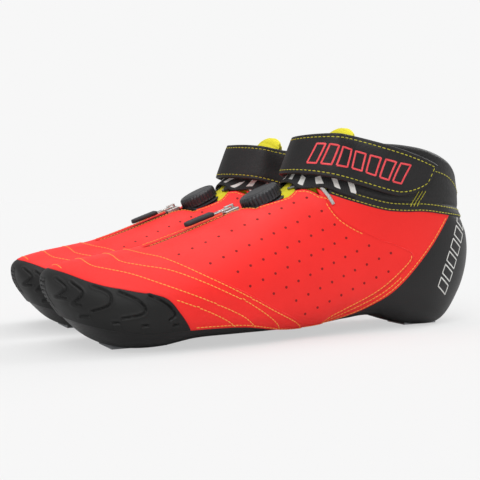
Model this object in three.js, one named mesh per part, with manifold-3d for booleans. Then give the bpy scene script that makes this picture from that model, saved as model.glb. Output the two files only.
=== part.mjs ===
// A pair of low-cut speed skate boots: carbon shell, zipped and dial-laced upper, padded collar, ankle strap.
// Millimetres, +Z up. The toes point to -X, the left boot stands at -Y and the right boot, its mirror image, at +Y.
import * as THREE from "three";
import { mergeVertices } from "three/addons/utils/BufferGeometryUtils.js";
import Module from "manifold-3d";

const wasm = await Module();
wasm.setup();

// ---------------------------------------------------------------- driving dimensions
const BOOT_LENGTH = 287.3; // toe tip to the back of the heel
const HEEL_X = 4.8; // the heel's back in boot coordinates, whose x is 0 near the heel and negative at the toe
const BOOT_SPACING = 115; // between the centre planes of the two boots
const MOUNT_SPACING = 195; // two-point frame mounting, front bolt to heel bolt
const HEEL_BOLT_X = -34;
const FRONT_BOLT_X = HEEL_BOLT_X - MOUNT_SPACING;

const GAP = 0.4; // between pieces that touch on the real boot
const SKIN = 2; // thickness of the shell and of the upper's panels
const LINER = 2;
const LINER_GAP = 0.8;
const COLLAR_PROUD = 1.2; // the padded collar stands this far outside the panels
const COLLAR_THICKNESS = 5.6;
const TONGUE = 2.6;
const DIAL_PAD = 5.5; // thickness of the tongue where the dial is let into it
const INSOLE = 3;
const REACH = 90; // half length of a cutter across the boot
const SIMPLIFY = 0.06; // facets flatter than this are joined

const ZIP_SLOT = 4.5; // half width of the slot that the zip runs in
const ZIP_LOW = [-218, 58.4]; // side view: the coil's lower end and its upper end
const ZIP_HIGH = [-157, 79.8];

const DIAL_TILT = THREE.MathUtils.degToRad(26);
const DIAL_FOOT = [-140, 82]; // side view: the centre of the dial housing's underside
const DIAL_RADIUS = 13.5;
const DIAL_HEIGHT = 10;
const LACE_RADIUS = 0.8;

const STRAP = 2; // strap thickness
const STRAP_OFF = 6.3; // the strap's outer face from the panels' surface, where it lies on the patches
const SEWN_OFF = 4.4; // and where its end is sewn to the collar
const PATCH = 0.8;

// ---------------------------------------------------------------- the boot's form
// Ribs from the toe to the cuff. Each joins a point of the top line to a point of the bottom line in side view.
// top x, z, bottom x, z, half width, shift to the inner side, height share of the widest point, top and bottom power
const RIBS = [
  [-282.5, 42, -282.5, 40, 0.6, 8, 0.5, 2, 2],
  [-281.2, 45.5, -280.8, 33, 14, 8, 0.5, 2, 2.1],
  [-277, 48, -275, 24, 25, 7, 0.5, 2.1, 2.2],
  [-268.5, 50.3, -266, 14, 34.5, 5.5, 0.48, 2.1, 2.4],
  [-256, 52.5, -253.5, 4.6, 42, 3.5, 0.45, 2.1, 2.7],
  [-241, 54.8, -239, 0.4, 46.5, 1.5, 0.42, 2.1, 3],
  [-222, 58.2, -221, 0.4, 49, 0, 0.4, 2.1, 3.2],
  [-200, 65, -200, 4.2, 49, -1, 0.36, 2, 3.6],
  [-178, 73, -174, 5, 46.5, -2, 0.34, 1.95, 4],
  [-158, 80.5, -147, 5.2, 43, -2.5, 0.34, 1.95, 4.2],
  [-145.5, 85.3, -120, 5.8, 40, -2, 0.36, 1.95, 4],
  [-135.5, 89, -95, 7.6, 38, -1, 0.4, 2, 3.4],
  [-128.5, 92.8, -72, 8, 36.5, 0, 0.42, 2.1, 3],
  [-123.5, 97, -46, 0.8, 36, 0, 0.44, 2.2, 2.8],
  [-119.5, 100.5, -20.5, 0.6, 35.5, 0, 0.46, 2.3, 2.6],
  [-116, 104, -3.5, 18, 35, 0, 0.48, 2.3, 2.3],
  [-112.2, 108, 4.6, 38, 34.5, 0, 0.5, 2.3, 2.2],
  [-108, 112.5, 4.4, 57, 34, 0, 0.5, 2.3, 2.2],
  [-103.5, 117.2, -4.4, 75, 34.5, 0, 0.5, 2.3, 2.2],
  [-99, 122, -9, 92, 36, 0, 0.5, 2.3, 2.3],
  [-94, 127.5, -11, 108, 37, 0, 0.5, 2.3, 2.3],
  [-89, 133, -13, 124, 37, 0, 0.5, 2.3, 2.3],
];
const LAST_RIB = RIBS.length - 1;
const STATIONS = [0, 0.8, 2, 3, 4, 5, 6, 7, 8, 9, 10, 11, 12, 13, 13.6, 14.4, 15, 16, 17, 18, 19, 20, LAST_RIB];
const AROUND = 20; // facets round a rib
const INNER_STATIONS = [0.9, 2, 3, 4, 5, 6, 7, 8, 9, 10, 11, 12, 13, 13.6, 14.4, 15, 16, 17, 18, LAST_RIB];
const INNER_AROUND = 20;

// A smooth curve through values at whole numbers.
function through(at, values) {
  const i = Math.min(Math.max(Math.floor(at), 0), values.length - 2);
  const t = at - i;
  const b = values[i];
  const c = values[i + 1];
  const a = i > 0 ? values[i - 1] : 2 * b - c;
  const d = i + 2 < values.length ? values[i + 2] : 2 * c - b;
  return b + 0.5 * t * (c - a + t * (2 * a - 5 * b + 4 * c - d + t * (3 * (b - c) + d - a)));
}

const column = (k) => RIBS.map((rib) => rib[k]);
const COLUMNS = RIBS[0].map((_, k) => column(k));
const ribAt = (s) => COLUMNS.map((values) => through(s, values));

// A point of the form: s counts ribs from the toe, angle 0 is the top line, positive angles are on the outer side.
function formPoint(s, angle) {
  const [tx, tz, bx, bz, half, shift, mid, topPower, bottomPower] = ribAt(s);
  const c = Math.abs(Math.cos(angle));
  const w = Math.abs(Math.sin(angle));
  const upper = Math.abs(angle) <= Math.PI / 2;
  const power = 2 / (upper ? topPower : bottomPower);
  const share = upper ? mid + (1 - mid) * c ** power : mid * (1 - c ** power);
  const y = shift - Math.sign(angle) * half * w ** power;
  return new THREE.Vector3(bx + (tx - bx) * share, y, bz + (tz - bz) * share);
}

function formNormal(s, angle) {
  const step = 0.02;
  const a = formPoint(Math.max(s - step, 0), angle);
  const b = formPoint(Math.min(s + step, LAST_RIB), angle);
  const c = formPoint(s, angle - step);
  const d = formPoint(s, angle + step);
  return d.sub(c).cross(b.sub(a)).normalize();
}

const offsetPoint = (s, angle, out) => formPoint(s, angle).addScaledVector(formNormal(s, angle), out);

// The form's point at a place in side view. side is 1 on the outer side and -1 on the inner side.
function sidePoint(x, z, side, out = 0) {
  let low = 0;
  let high = LAST_RIB;
  const ahead = (s) => {
    const [tx, tz, bx, bz] = ribAt(s);
    return (tx - bx) * (z - bz) - (tz - bz) * (x - bx) < 0;
  };
  for (let i = 0; i < 30; i++) {
    const s = (low + high) / 2;
    if (ahead(s)) low = s;
    else high = s;
  }
  const s = (low + high) / 2;
  const [tx, tz, bx, bz, , , mid, topPower, bottomPower] = ribAt(s);
  const share = ((x - bx) * (tx - bx) + (z - bz) * (tz - bz)) / ((tx - bx) ** 2 + (tz - bz) ** 2);
  const clamp = Math.min(Math.max(share, 0), 1);
  const c = clamp > mid ? ((clamp - mid) / (1 - mid)) ** (topPower / 2) : (1 - clamp / mid) ** (bottomPower / 2);
  const angle = clamp > mid ? Math.acos(c) : Math.PI - Math.acos(c);
  return offsetPoint(s, side * angle, out);
}

// ---------------------------------------------------------------- solids
function solidOf(geometry) {
  const bare = geometry.clone();
  for (const name of Object.keys(bare.attributes)) if (name !== "position") bare.deleteAttribute(name);
  const merged = mergeVertices(bare, 1e-4);
  return new wasm.Manifold(
    new wasm.Mesh({
      numProp: 3,
      vertProperties: merged.attributes.position.array,
      triVerts: new Uint32Array(merged.index.array),
    }),
  );
}

function geometryOf(solid) {
  const mesh = solid.simplify(SIMPLIFY).getMesh();
  const points = new Float32Array(mesh.numVert * 3);
  for (let i = 0; i < mesh.numVert; i++) {
    points.set(mesh.vertProperties.subarray(i * mesh.numProp, i * mesh.numProp + 3), i * 3);
  }
  return new THREE.BufferGeometry()
    .setAttribute("position", new THREE.BufferAttribute(points, 3))
    .setIndex(new THREE.BufferAttribute(mesh.triVerts, 1));
}

// The largest separate body of a solid, for a cut that leaves slivers.
function largest(solid) {
  return solid.decompose().reduce((a, b) => (a.volume() > b.volume() ? a : b));
}

function closedMesh(points, faces) {
  const geometry = new THREE.BufferGeometry();
  geometry.setAttribute("position", new THREE.Float32BufferAttribute(points.flatMap((p) => [p.x, p.y, p.z]), 3));
  geometry.setIndex(faces);
  const solid = solidOf(geometry);
  if (solid.volume() > 0) return solid;
  const turned = [];
  for (let i = 0; i < faces.length; i += 3) turned.push(faces[i], faces[i + 2], faces[i + 1]);
  return solidOf(geometry.setIndex(turned));
}

// The solid inside the form's surface moved out by a distance, between two stations and closed at both.
function formSolid(out, stations = STATIONS, around = AROUND) {
  const points = [];
  const faces = [];
  for (const s of stations) {
    for (let k = 0; k < around; k++) {
      const angle = Math.PI - (2 * Math.PI * k) / around;
      points.push(offsetPoint(s, angle, out));
    }
  }
  const at = (i, k) => i * around + ((k + around) % around);
  for (let i = 0; i + 1 < stations.length; i++) {
    for (let k = 0; k < around; k++) {
      faces.push(at(i, k), at(i, k + 1), at(i + 1, k + 1), at(i, k), at(i + 1, k + 1), at(i + 1, k));
    }
  }
  for (const [i, flip] of [[0, false], [stations.length - 1, true]]) {
    const centre = new THREE.Vector3();
    for (let k = 0; k < around; k++) centre.addScaledVector(points[at(i, k)], 1 / around);
    const c = points.push(centre) - 1;
    for (let k = 0; k < around; k++) faces.push(c, ...(flip ? [at(i, k), at(i, k + 1)] : [at(i, k + 1), at(i, k)]));
  }
  return closedMesh(points, faces);
}

// A prism right across the boot over a closed outline of side-view points.
function sidePrism(outline, from = -REACH, to = REACH) {
  const shape = new THREE.Shape(outline.map(([x, z]) => new THREE.Vector2(x, z)));
  const geometry = new THREE.ExtrudeGeometry(shape, { depth: to - from, bevelEnabled: false });
  return solidOf(geometry.rotateX(Math.PI / 2).translate(0, to, 0));
}

// A prism over a closed outline of plan-view points.
function planPrism(outline, low, high) {
  const shape = new THREE.Shape(outline.map(([x, y]) => new THREE.Vector2(x, y)));
  return solidOf(new THREE.ExtrudeGeometry(shape, { depth: high - low, bevelEnabled: false }).translate(0, 0, low));
}

// A smooth line through side-view points.
function smooth(points, count = points.length * 2) {
  const curve = new THREE.SplineCurve(points.map(([x, z]) => new THREE.Vector2(x, z)));
  return curve.getPoints(count).map((p) => [p.x, p.y]);
}

// The same line moved to its left by a distance.
function shifted(line, distance) {
  return line.map(([x, z], i) => {
    const [ax, az] = line[Math.max(i - 1, 0)];
    const [bx, bz] = line[Math.min(i + 1, line.length - 1)];
    const length = Math.hypot(bx - ax, bz - az);
    return [x - ((bz - az) / length) * distance, z + ((bx - ax) / length) * distance];
  });
}

const backwards = (line) => [...line].reverse();

// ---------------------------------------------------------------- seam lines in side view, each from the toe to the heel
const BUMPER_TOP = smooth([
  [-293, 51.5], [-274, 48], [-257, 41.3], [-240, 37.4], [-222, 33.2], [-213.5, 24], [-206, 12], [-201, 0], [-199, -12],
], 14);
const SHELL_TOP = smooth([
  [-300, 31], [-276, 21.5], [-262, 16.5], [-246, 13], [-229, 11.5], [-206, 12.6], [-176, 12], [-152, 8.4],
  [-136, 7], [-118, 7.8], [-98, 11.4], [-81, 17], [-66, 26], [-52, 38], [-37, 53.5], [-23, 71], [-18, 78],
], 26);
const VAMP_REAR = smooth([
  [-246, 75], [-231, 58], [-216, 53], [-197, 43.5], [-175, 32.5], [-155, 21.5], [-135, 11], [-125, 0],
], 12);
const QUARTER_REAR = smooth([
  [-112, 95], [-106.5, 78], [-98, 69], [-80, 60], [-59, 52], [-53, 46.5], [-59.5, 38.5], [-80, 24.3], [-103, 15.5],
  [-115, 10.5], [-121, 0],
], 18);
const COLLAR_LOW = smooth([
  [-145, 103], [-125, 95], [-108, 87.5], [-92, 81.5], [-73, 76], [-58, 74.4], [-43, 74], [-22, 71], [-2, 68.2], [14, 67],
], 12);
const COLLAR_RIM = smooth([
  [-112, 128], [-95, 121.6], [-78, 119], [-60, 117.2], [-43, 114], [-27, 107.8], [-16, 100], [-7, 91.5], [6, 83],
], 14);
const COLLAR_FRONT = [[-109.5, 84], [-103, 104], [-94, 130]];

// Half width of the throat between the two quarters, at points along the boot in plan view.
const THROAT = [
  [-222, 0], [-220.5, ZIP_SLOT * 0.8], [-217, ZIP_SLOT], [-164, ZIP_SLOT], [-157, 9], [-152, 14.6], [-130, 16],
  [-122, 13.5], [-115, 14], [-106, 22], [-96, 30],
];
function throat(grow, from = THROAT[0][0], to = -96, low = 40, high = 140) {
  const edge = THROAT.filter(([x]) => x >= from && x <= to).map(([x, half]) => [x, half + grow]);
  return planPrism([...edge.map(([x, y]) => [x, -y]), ...backwards(edge)], low, high);
}

const above = (line, top = 160) => sidePrism([...line, [line.at(-1)[0], top], [line[0][0], top]]);
const below = (line, bottom = -30) => sidePrism([...line, [line.at(-1)[0], bottom], [line[0][0], bottom]]);
const half = GAP / 2;

// ---------------------------------------------------------------- shell and upper
const outer = formSolid(0);
const skin = outer.subtract(formSolid(-SKIN, [0.5, ...STATIONS.slice(1)]));
const outerHalf = sidePrism([[-300, -30], [40, -30], [40, 160], [-300, 160]], -REACH, 0);
const innerHalf = sidePrism([[-300, -30], [40, -30], [40, 160], [-300, 160]], 0, REACH);

const frontPlatePocket = plateBox(FRONT_BOLT_X, 34, 30, GAP);
const heelPlatePocket = plateBox(HEEL_BOLT_X, 24, 22, GAP);

// Everything ahead of a line that runs from the top of the boot to its sole.
const aheadOf = (line) => sidePrism([[-310, line[0][1]], ...line, [-310, line.at(-1)[1]]]);
const aboveShell = above(shifted(SHELL_TOP, half));
const lowSkin = skin.subtract(above(shifted(COLLAR_LOW, -half)));
const upper = lowSkin.intersect(aboveShell);

const makeBumper = () => largest(upper.intersect(aheadOf(shifted(BUMPER_TOP, -half))));

function makeVamp() {
  const behindBumper = upper.subtract(aheadOf(shifted(BUMPER_TOP, half)));
  return largest(behindBumper.intersect(aheadOf(shifted(VAMP_REAR, -half))));
}

function makeQuarter(side) {
  const behindVamp = upper.subtract(aheadOf(shifted(VAMP_REAR, half)));
  const quarter = behindVamp.intersect(aheadOf(shifted(QUARTER_REAR, -half))).subtract(throat(0));
  return largest(quarter.intersect(side > 0 ? outerHalf : innerHalf));
}

function makeHeelPanel(side) {
  const panel = upper.subtract(aheadOf(shifted(QUARTER_REAR, half)));
  return largest(panel.intersect(side > 0 ? outerHalf : innerHalf));
}

function makeShell() {
  return largest(
    lowSkin.subtract(above(shifted(SHELL_TOP, -half))).subtract(frontPlatePocket).subtract(heelPlatePocket),
  );
}

function makeLiner() {
  const face = -SKIN - LINER_GAP;
  const inside = (out) => formSolid(out, INNER_STATIONS, INNER_AROUND);
  return largest(
    inside(face).subtract(inside(face - LINER)).subtract(above(shifted(COLLAR_LOW, -half)))
      .subtract(throat(10, -235, -90, 45)).subtract(zipRecess())
      .subtract(frontPlatePocket).subtract(heelPlatePocket),
  );
}

function makeInsole() {
  const top = smooth([
    [-270, 25], [-255, 16.5], [-239, 11.5], [-221, 11], [-200, 14], [-174, 15.4], [-147, 16], [-120, 17], [-95, 18.5],
    [-72, 17], [-46, 12], [-20, 10.5], [-5, 12],
  ], 12);
  return largest(formSolid(-SKIN - LINER_GAP - LINER - GAP, INNER_STATIONS, INNER_AROUND).intersect(below(top)));
}

const CUFF_STATIONS = STATIONS.filter((s) => s >= 11);
function makeCollar() {
  const ring = formSolid(COLLAR_PROUD, CUFF_STATIONS)
    .subtract(formSolid(COLLAR_PROUD - COLLAR_THICKNESS, CUFF_STATIONS));
  const front = sidePrism([[-300, 60], ...COLLAR_FRONT, [-94, 160], [-300, 160]]);
  return largest(ring.intersect(above(shifted(COLLAR_LOW, half))).intersect(below(COLLAR_RIM)).subtract(front));
}

// The tongue stands up the front of the ankle and runs forward as a pad under the dial.
function makeTongue() {
  const face = formSolid(-SKIN - GAP);
  const front = COLLAR_FRONT.map(([x, z]) => [x - GAP, z]);
  const upright = face.subtract(formSolid(-SKIN - GAP - TONGUE))
    .intersect(sidePrism([[-190, front[0][1] - 3], ...front, [-94, 160], [-190, 160]]));
  const pad = face.subtract(formSolid(-SKIN - GAP - DIAL_PAD))
    .intersect(throat(9, -160, -106, 60, 110)).intersect(sidePrism([[-153, 60], [-112, 60], [-112, 92], [-153, 92]]));
  const lip = below([[-160, 129], [-60, 129]]);
  return largest(upright.add(pad).intersect(lip).subtract(dialRecess()));
}

// ---------------------------------------------------------------- sole hardware
const PLATE = 3.1;
const THREAD = 3;
function plateBox(x, length, width, grow) {
  const box = new THREE.BoxGeometry(length + 2 * grow, width + 2 * grow, grow ? 8 : PLATE);
  return solidOf(box.translate(x, 0, grow ? 0 : PLATE / 2));
}

function makePlate(x, length, width) {
  const hole = new THREE.CylinderGeometry(THREAD, THREAD, 12, 16).rotateX(Math.PI / 2).translate(x, 0, 0);
  return plateBox(x, length, width, 0).subtract(solidOf(hole));
}

// ---------------------------------------------------------------- zip
const ZIP_ANGLE = Math.atan2(ZIP_HIGH[1] - ZIP_LOW[1], ZIP_HIGH[0] - ZIP_LOW[0]);
const ZIP_LENGTH = Math.hypot(ZIP_HIGH[1] - ZIP_LOW[1], ZIP_HIGH[0] - ZIP_LOW[0]);

// A box in the zip's own frame: along the coil from its lower end, across it, and up from the tape's face.
function zipBox(from, to, width, low, high) {
  const box = new THREE.BoxGeometry(to - from, width, high - low).translate((from + to) / 2, 0, (low + high) / 2);
  return solidOf(box.rotateY(-ZIP_ANGLE).translate(ZIP_LOW[0], 0, ZIP_LOW[1]));
}

const zipRecess = () => zipBox(-14, ZIP_LENGTH + 10, 26, -8, 3);
const TAPE = [-4.6, -3.4];
const COIL = [-3.6, -1.6];
const SLIDER_FROM = ZIP_LENGTH - 11;

function makeZipTape() {
  return zipBox(-4, ZIP_LENGTH + 1.5, 18, ...TAPE).add(zipBox(0, ZIP_LENGTH, 4, ...COIL));
}

function makeZipSlider() {
  const body = zipBox(SLIDER_FROM, ZIP_LENGTH - 1, 7.6, -3, 2.2);
  const channel = zipBox(SLIDER_FROM - 2, ZIP_LENGTH + 2, 4.8, -4, -1.2);
  const bridge = zipBox(SLIDER_FROM + 1.5, SLIDER_FROM + 8, 2.6, 2, 4.9);
  const eye = zipBox(SLIDER_FROM + 2.9, SLIDER_FROM + 6.1, 5, 2.35, 4);
  return body.subtract(channel).add(bridge).subtract(eye);
}

const PIN = SLIDER_FROM + 4.5; // the puller's pivot, along the coil and above the tape's face
const PIN_UP = 3.15;
function makeZipPuller() {
  const pin = zipBox(PIN - 0.45, PIN + 0.45, 6.4, PIN_UP - 0.45, PIN_UP + 0.45);
  const arms = zipBox(PIN - 13, PIN + 0.6, 6.4, PIN_UP - 0.5, PIN_UP + 0.5)
    .subtract(zipBox(PIN - 7, PIN + 2, 3.6, PIN_UP - 2, PIN_UP + 2));
  return arms.add(pin);
}

function makeZipGrip() {
  const blade = zipBox(PIN - 31, PIN - 12, 7.6, PIN_UP - 0.9, PIN_UP + 2.1);
  return blade.subtract(zipBox(PIN - 14, PIN, 7, PIN_UP - 0.5 - 0.3, PIN_UP + 0.5 + 0.3));
}

// ---------------------------------------------------------------- dial
function onDial(geometry) {
  return solidOf(geometry.rotateX(Math.PI / 2).rotateY(-DIAL_TILT).translate(DIAL_FOOT[0], 0, DIAL_FOOT[1]));
}

const turned = (profile, sides = 24) => new THREE.LatheGeometry(profile.map(([r, h]) => new THREE.Vector2(r, h)), sides);

const dialRecess = () => onDial(turned([[0, -GAP], [40, -GAP], [40, 30], [0, 30]], 16))
  .intersect(sidePrism([[-153, 60], [-119, 60], [-119, 110], [-153, 110]]));

function makeDialBase() {
  return onDial(turned([[0, 0], [15, 0], [15, 1.2], [12, 1.6], [12, 6.6], [9.6, 6.6], [9.6, 1.7], [0, 1.7]], 20));
}

function makeDialSpool() {
  const rim = 9;
  return onDial(turned([[2.8, 2.1], [rim, 2.1], [rim, 2.8], [7, 3.2], [7, 4.2], [rim, 4.6], [rim, 5.2], [2.8, 5.2], [2.8, 2.1]], 20));
}

function makeDialHub() {
  return onDial(turned([[0, 2.6], [2.3, 2.6], [2.3, 5.6], [9, 5.6], [9, 6.8], [0, 6.8]], 20));
}

function makeDialKnob() {
  const top = DIAL_HEIGHT;
  const inside = 12.5;
  return onDial(turned([
    [0, 7.4], [inside, 7.4], [inside, 2.6], [DIAL_RADIUS, 2.6], [DIAL_RADIUS, top - 2.4],
    [DIAL_RADIUS - 0.4, top - 1.2], [DIAL_RADIUS - 2.4, top], [0, top],
  ], 32));
}

// ---------------------------------------------------------------- lace and guides
// The lace leaves the dial, passes through a guide on each side and crosses the tongue. Rib count and angle.
const LACE_UP = -SKIN - GAP + 0.3 + LACE_RADIUS;
const LACE_RUN = [[12.15, 0.18], [12.6, 0.26], [13.1, 0.28], [13.7, 0.22], [14, 0.1]];
const lacePoint = ([s, angle]) => offsetPoint(s, angle, LACE_UP);
const LACE_PATH = [
  ...LACE_RUN.map(lacePoint), lacePoint([14.05, 0]), ...backwards(LACE_RUN).map(([s, angle]) => lacePoint([s, -angle])),
];

function tubeAlong(points, radius, steps, sides) {
  const path = new THREE.CatmullRomCurve3(points);
  const section = new THREE.Shape();
  section.absarc(0, 0, radius, 0, 2 * Math.PI);
  const outline = section.getPoints(sides / 2).slice(0, -1);
  return solidOf(
    new THREE.ExtrudeGeometry(new THREE.Shape(outline), { extrudePath: path, steps, bevelEnabled: false }),
  );
}

const makeLace = () => tubeAlong(LACE_PATH, LACE_RADIUS, 20, 6);
function makeGuide(side) {
  const at = offsetPoint(12.95, side * 0.28, LACE_UP + 0.2);
  const up = formNormal(12.95, side * 0.28);
  const along = lacePoint([13.2, side * 0.28]).sub(lacePoint([12.7, side * 0.27])).normalize();
  const across = new THREE.Vector3().crossVectors(up, along).normalize();
  const placed = new THREE.Matrix4().makeBasis(along, across, along.clone().cross(across)).setPosition(at);
  const block = new THREE.BoxGeometry(6, 4.2, 2.6).applyMatrix4(placed);
  return solidOf(block).subtract(tubeAlong(LACE_PATH, LACE_RADIUS + 0.3, 20, 6));
}

// ---------------------------------------------------------------- strap, patches and elastic
// The strap's columns, each from its lower to its upper edge, from the sewn end on the inner side to the tip.
const ROWS = 4;
const ruled = (low, high) => Array.from({ length: ROWS }, (_, i) =>
  new THREE.Vector3(...low).lerp(new THREE.Vector3(...high), i / (ROWS - 1)));
const worn = (low, high, side, out) => Array.from({ length: ROWS }, (_, i) => {
  const t = i / (ROWS - 1);
  return sidePoint(low[0] + (high[0] - low[0]) * t, low[1] + (high[1] - low[1]) * t, side, out);
});
const STRAP_COLUMNS = [
  worn([-62, 84.5], [-54, 112], -1, SEWN_OFF),
  worn([-76, 88.5], [-71, 116], -1, SEWN_OFF),
  worn([-90, 93], [-88, 119.5], -1, SEWN_OFF + 0.6),
  ruled([-108, 31, 98.5], [-102, 30, 123]),
  ruled([-121.5, 18, 101], [-112, 17, 125]),
  ruled([-127.5, 0, 101.5], [-117.5, 0, 125.5]),
  ruled([-121.5, -18, 101], [-112, -17, 126]),
  ruled([-108, -31.5, 98], [-102.5, -31, 125.5]),
  worn([-90, 92.3], [-87.5, 122], 1, STRAP_OFF),
  worn([-74, 87], [-71, 117.5], 1, STRAP_OFF),
  worn([-62, 84.8], [-55.5, 112.5], 1, STRAP_OFF),
  worn([-50, 88.5], [-43, 107.5], 1, STRAP_OFF),
  worn([-43, 93.5], [-37.5, 104.5], 1, STRAP_OFF),
];
const ANCHOR_END = 2.7; // in columns: where the sewn part ends and the strap can swing
const FLAP_START = 7.3; // where the flap that closes on the collar begins
const HINGE_GAP = 0.05; // in columns, on each side of a fold

function strapPoint(t, row) {
  const part = (axis) => through(t, STRAP_COLUMNS.map((c) => c[row][axis]));
  return new THREE.Vector3(part("x"), part("y"), part("z"));
}

// A strip of the strap between two columns, with an inner and an outer face.
function strapStrip(from, to, steps, low = 0, high = STRAP, shrink = 0) {
  const points = [];
  const faces = [];
  const rows = ROWS;
  for (let layer = 0; layer < 2; layer++) {
    for (let i = 0; i <= steps; i++) {
      const t = from + ((to - from) * i) / steps;
      for (let j = 0; j < rows; j++) {
        const along = strapPoint(Math.min(t + 0.05, STRAP_COLUMNS.length - 1), j)
          .sub(strapPoint(Math.max(t - 0.05, 0), j));
        const up = strapPoint(t, Math.min(j + 1, rows - 1)).sub(strapPoint(t, Math.max(j - 1, 0)));
        const normal = along.cross(up).normalize();
        const point = strapPoint(t, j);
        if (shrink) {
          const middle = strapPoint(t, 1).lerp(strapPoint(t, 2), 0.5);
          point.lerp(middle, shrink);
        }
        points.push(point.addScaledVector(normal, -(layer ? high : low)));
      }
    }
  }
  const count = (steps + 1) * rows;
  const at = (layer, i, j) => layer * count + i * rows + j;
  const quad = (a, b, c, d) => faces.push(a, b, c, a, c, d);
  for (let i = 0; i < steps; i++) {
    for (let j = 0; j + 1 < rows; j++) {
      quad(at(0, i, j), at(0, i + 1, j), at(0, i + 1, j + 1), at(0, i, j + 1));
      quad(at(1, i, j), at(1, i, j + 1), at(1, i + 1, j + 1), at(1, i + 1, j));
    }
    quad(at(0, i, 0), at(1, i, 0), at(1, i + 1, 0), at(0, i + 1, 0));
    quad(at(0, i, rows - 1), at(0, i + 1, rows - 1), at(1, i + 1, rows - 1), at(1, i, rows - 1));
  }
  for (let j = 0; j + 1 < rows; j++) {
    quad(at(0, 0, j), at(0, 0, j + 1), at(1, 0, j + 1), at(1, 0, j));
    quad(at(0, steps, j), at(1, steps, j), at(1, steps, j + 1), at(0, steps, j + 1));
  }
  return closedMesh(points, faces);
}

const makeStrapAnchor = () => strapStrip(0, ANCHOR_END - HINGE_GAP, 6);
const makeStrapFront = () => strapStrip(ANCHOR_END + HINGE_GAP, FLAP_START - HINGE_GAP, 12);
const makeStrapFlap = () => strapStrip(FLAP_START + HINGE_GAP, STRAP_COLUMNS.length - 1, 12);
const makeHookPatch = () => strapStrip(9, 11.2, 5, STRAP + 0.35, STRAP + 0.35 + PATCH, 0.16);
const makeLoopPatch = () => strapStrip(8.9, 11.3, 6, STRAP + 0.75 + PATCH, STRAP + 0.75 + 2 * PATCH, 0.16);

const frontPoints = (out) => [14.2, 14.8, 15.4, 16.2].map((s) => offsetPoint(s, 0, out));

// The elastic crosses the tongue from one side of the collar to the other.
function makeElastic() {
  const columns = [
    worn([-100, 90], [-96, 103], -1, 2.8), worn([-107, 93.5], [-103, 105], -1, 2.8),
    worn([-113, 97], [-108.5, 107], -1, 2), frontPoints(2), worn([-113, 97], [-108.5, 107], 1, 2),
    worn([-107, 93.5], [-103, 105], 1, 2.8), worn([-100, 90], [-96, 103], 1, 2.8),
  ];
  const saved = STRAP_COLUMNS.splice(0, STRAP_COLUMNS.length, ...columns);
  const band = strapStrip(0, columns.length - 1, 12, 0, 1.2);
  STRAP_COLUMNS.splice(0, STRAP_COLUMNS.length, ...saved);
  return band;
}

// ---------------------------------------------------------------- materials
const paint = (color, roughness, metalness = 0) => new THREE.MeshStandardMaterial({ color, roughness, metalness });
const MATERIALS = {
  carbon: paint(0x1c1d1f, 0.4),
  rubber: paint(0x242527, 0.6),
  red: paint(0xff2a22, 0.55),
  black: paint(0x151515, 0.7),
  yellow: paint(0xf2ea1a, 0.6),
  lining: paint(0x1b1b1d, 0.9),
  dial: paint(0x2a2d31, 0.45),
  metal: paint(0xb9bcc0, 0.3, 0.9),
  steel: paint(0x8d9196, 0.4, 0.9),
};

// ---------------------------------------------------------------- one boot
const PIECES = [
  ["shell", makeShell, "carbon"],
  ["toe_bumper", makeBumper, "rubber"],
  ["vamp", makeVamp, "red"],
  ["quarter_outer", () => makeQuarter(1), "red"],
  ["quarter_inner", () => makeQuarter(-1), "red"],
  ["heel_panel_outer", () => makeHeelPanel(1), "red"],
  ["heel_panel_inner", () => makeHeelPanel(-1), "red"],
  ["collar", makeCollar, "black"],
  ["tongue", makeTongue, "yellow"],
  ["liner", makeLiner, "lining"],
  ["insole", makeInsole, "lining"],
  ["strap_anchor", makeStrapAnchor, "black"],
  ["strap_front", makeStrapFront, "black"],
  ["strap_flap", makeStrapFlap, "black"],
  ["hook_patch", makeHookPatch, "lining"],
  ["loop_patch", makeLoopPatch, "lining"],
  ["elastic_band", makeElastic, "black"],
  ["zip_tape", makeZipTape, "black"],
  ["zip_slider", makeZipSlider, "metal"],
  ["zip_puller", makeZipPuller, "metal"],
  ["zip_grip", makeZipGrip, "rubber"],
  ["dial_base", makeDialBase, "dial"],
  ["dial_spool", makeDialSpool, "dial"],
  ["dial_hub", makeDialHub, "steel"],
  ["dial_knob", makeDialKnob, "dial"],
  ["lace", makeLace, "steel"],
  ["lace_guide_outer", () => makeGuide(1), "black"],
  ["lace_guide_inner", () => makeGuide(-1), "black"],
  ["front_mount_plate", () => makePlate(FRONT_BOLT_X, 34, 30), "steel"],
  ["heel_mount_plate", () => makePlate(HEEL_BOLT_X, 24, 22), "steel"],
];

const solids = PIECES.map(([name, make, material]) => [name, geometryOf(make()), MATERIALS[material]]);

function boot(prefix, mirror) {
  const group = new THREE.Group();
  for (const [name, geometry, material] of solids) {
    const mesh = new THREE.Mesh(geometry, material);
    mesh.name = `${prefix}_${name}`;
    group.add(mesh);
  }
  group.scale.y = mirror;
  group.position.set(BOOT_LENGTH / 2 - HEEL_X, (-mirror * BOOT_SPACING) / 2, 0);
  return group;
}

const pair = new THREE.Group();
pair.add(boot("left", 1), boot("right", -1));

export default pair;
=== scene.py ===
import math

import bpy
import bmesh
import numpy as np
from bpy.props import FloatProperty, FloatVectorProperty, PointerProperty
from mathutils import Matrix


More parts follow.
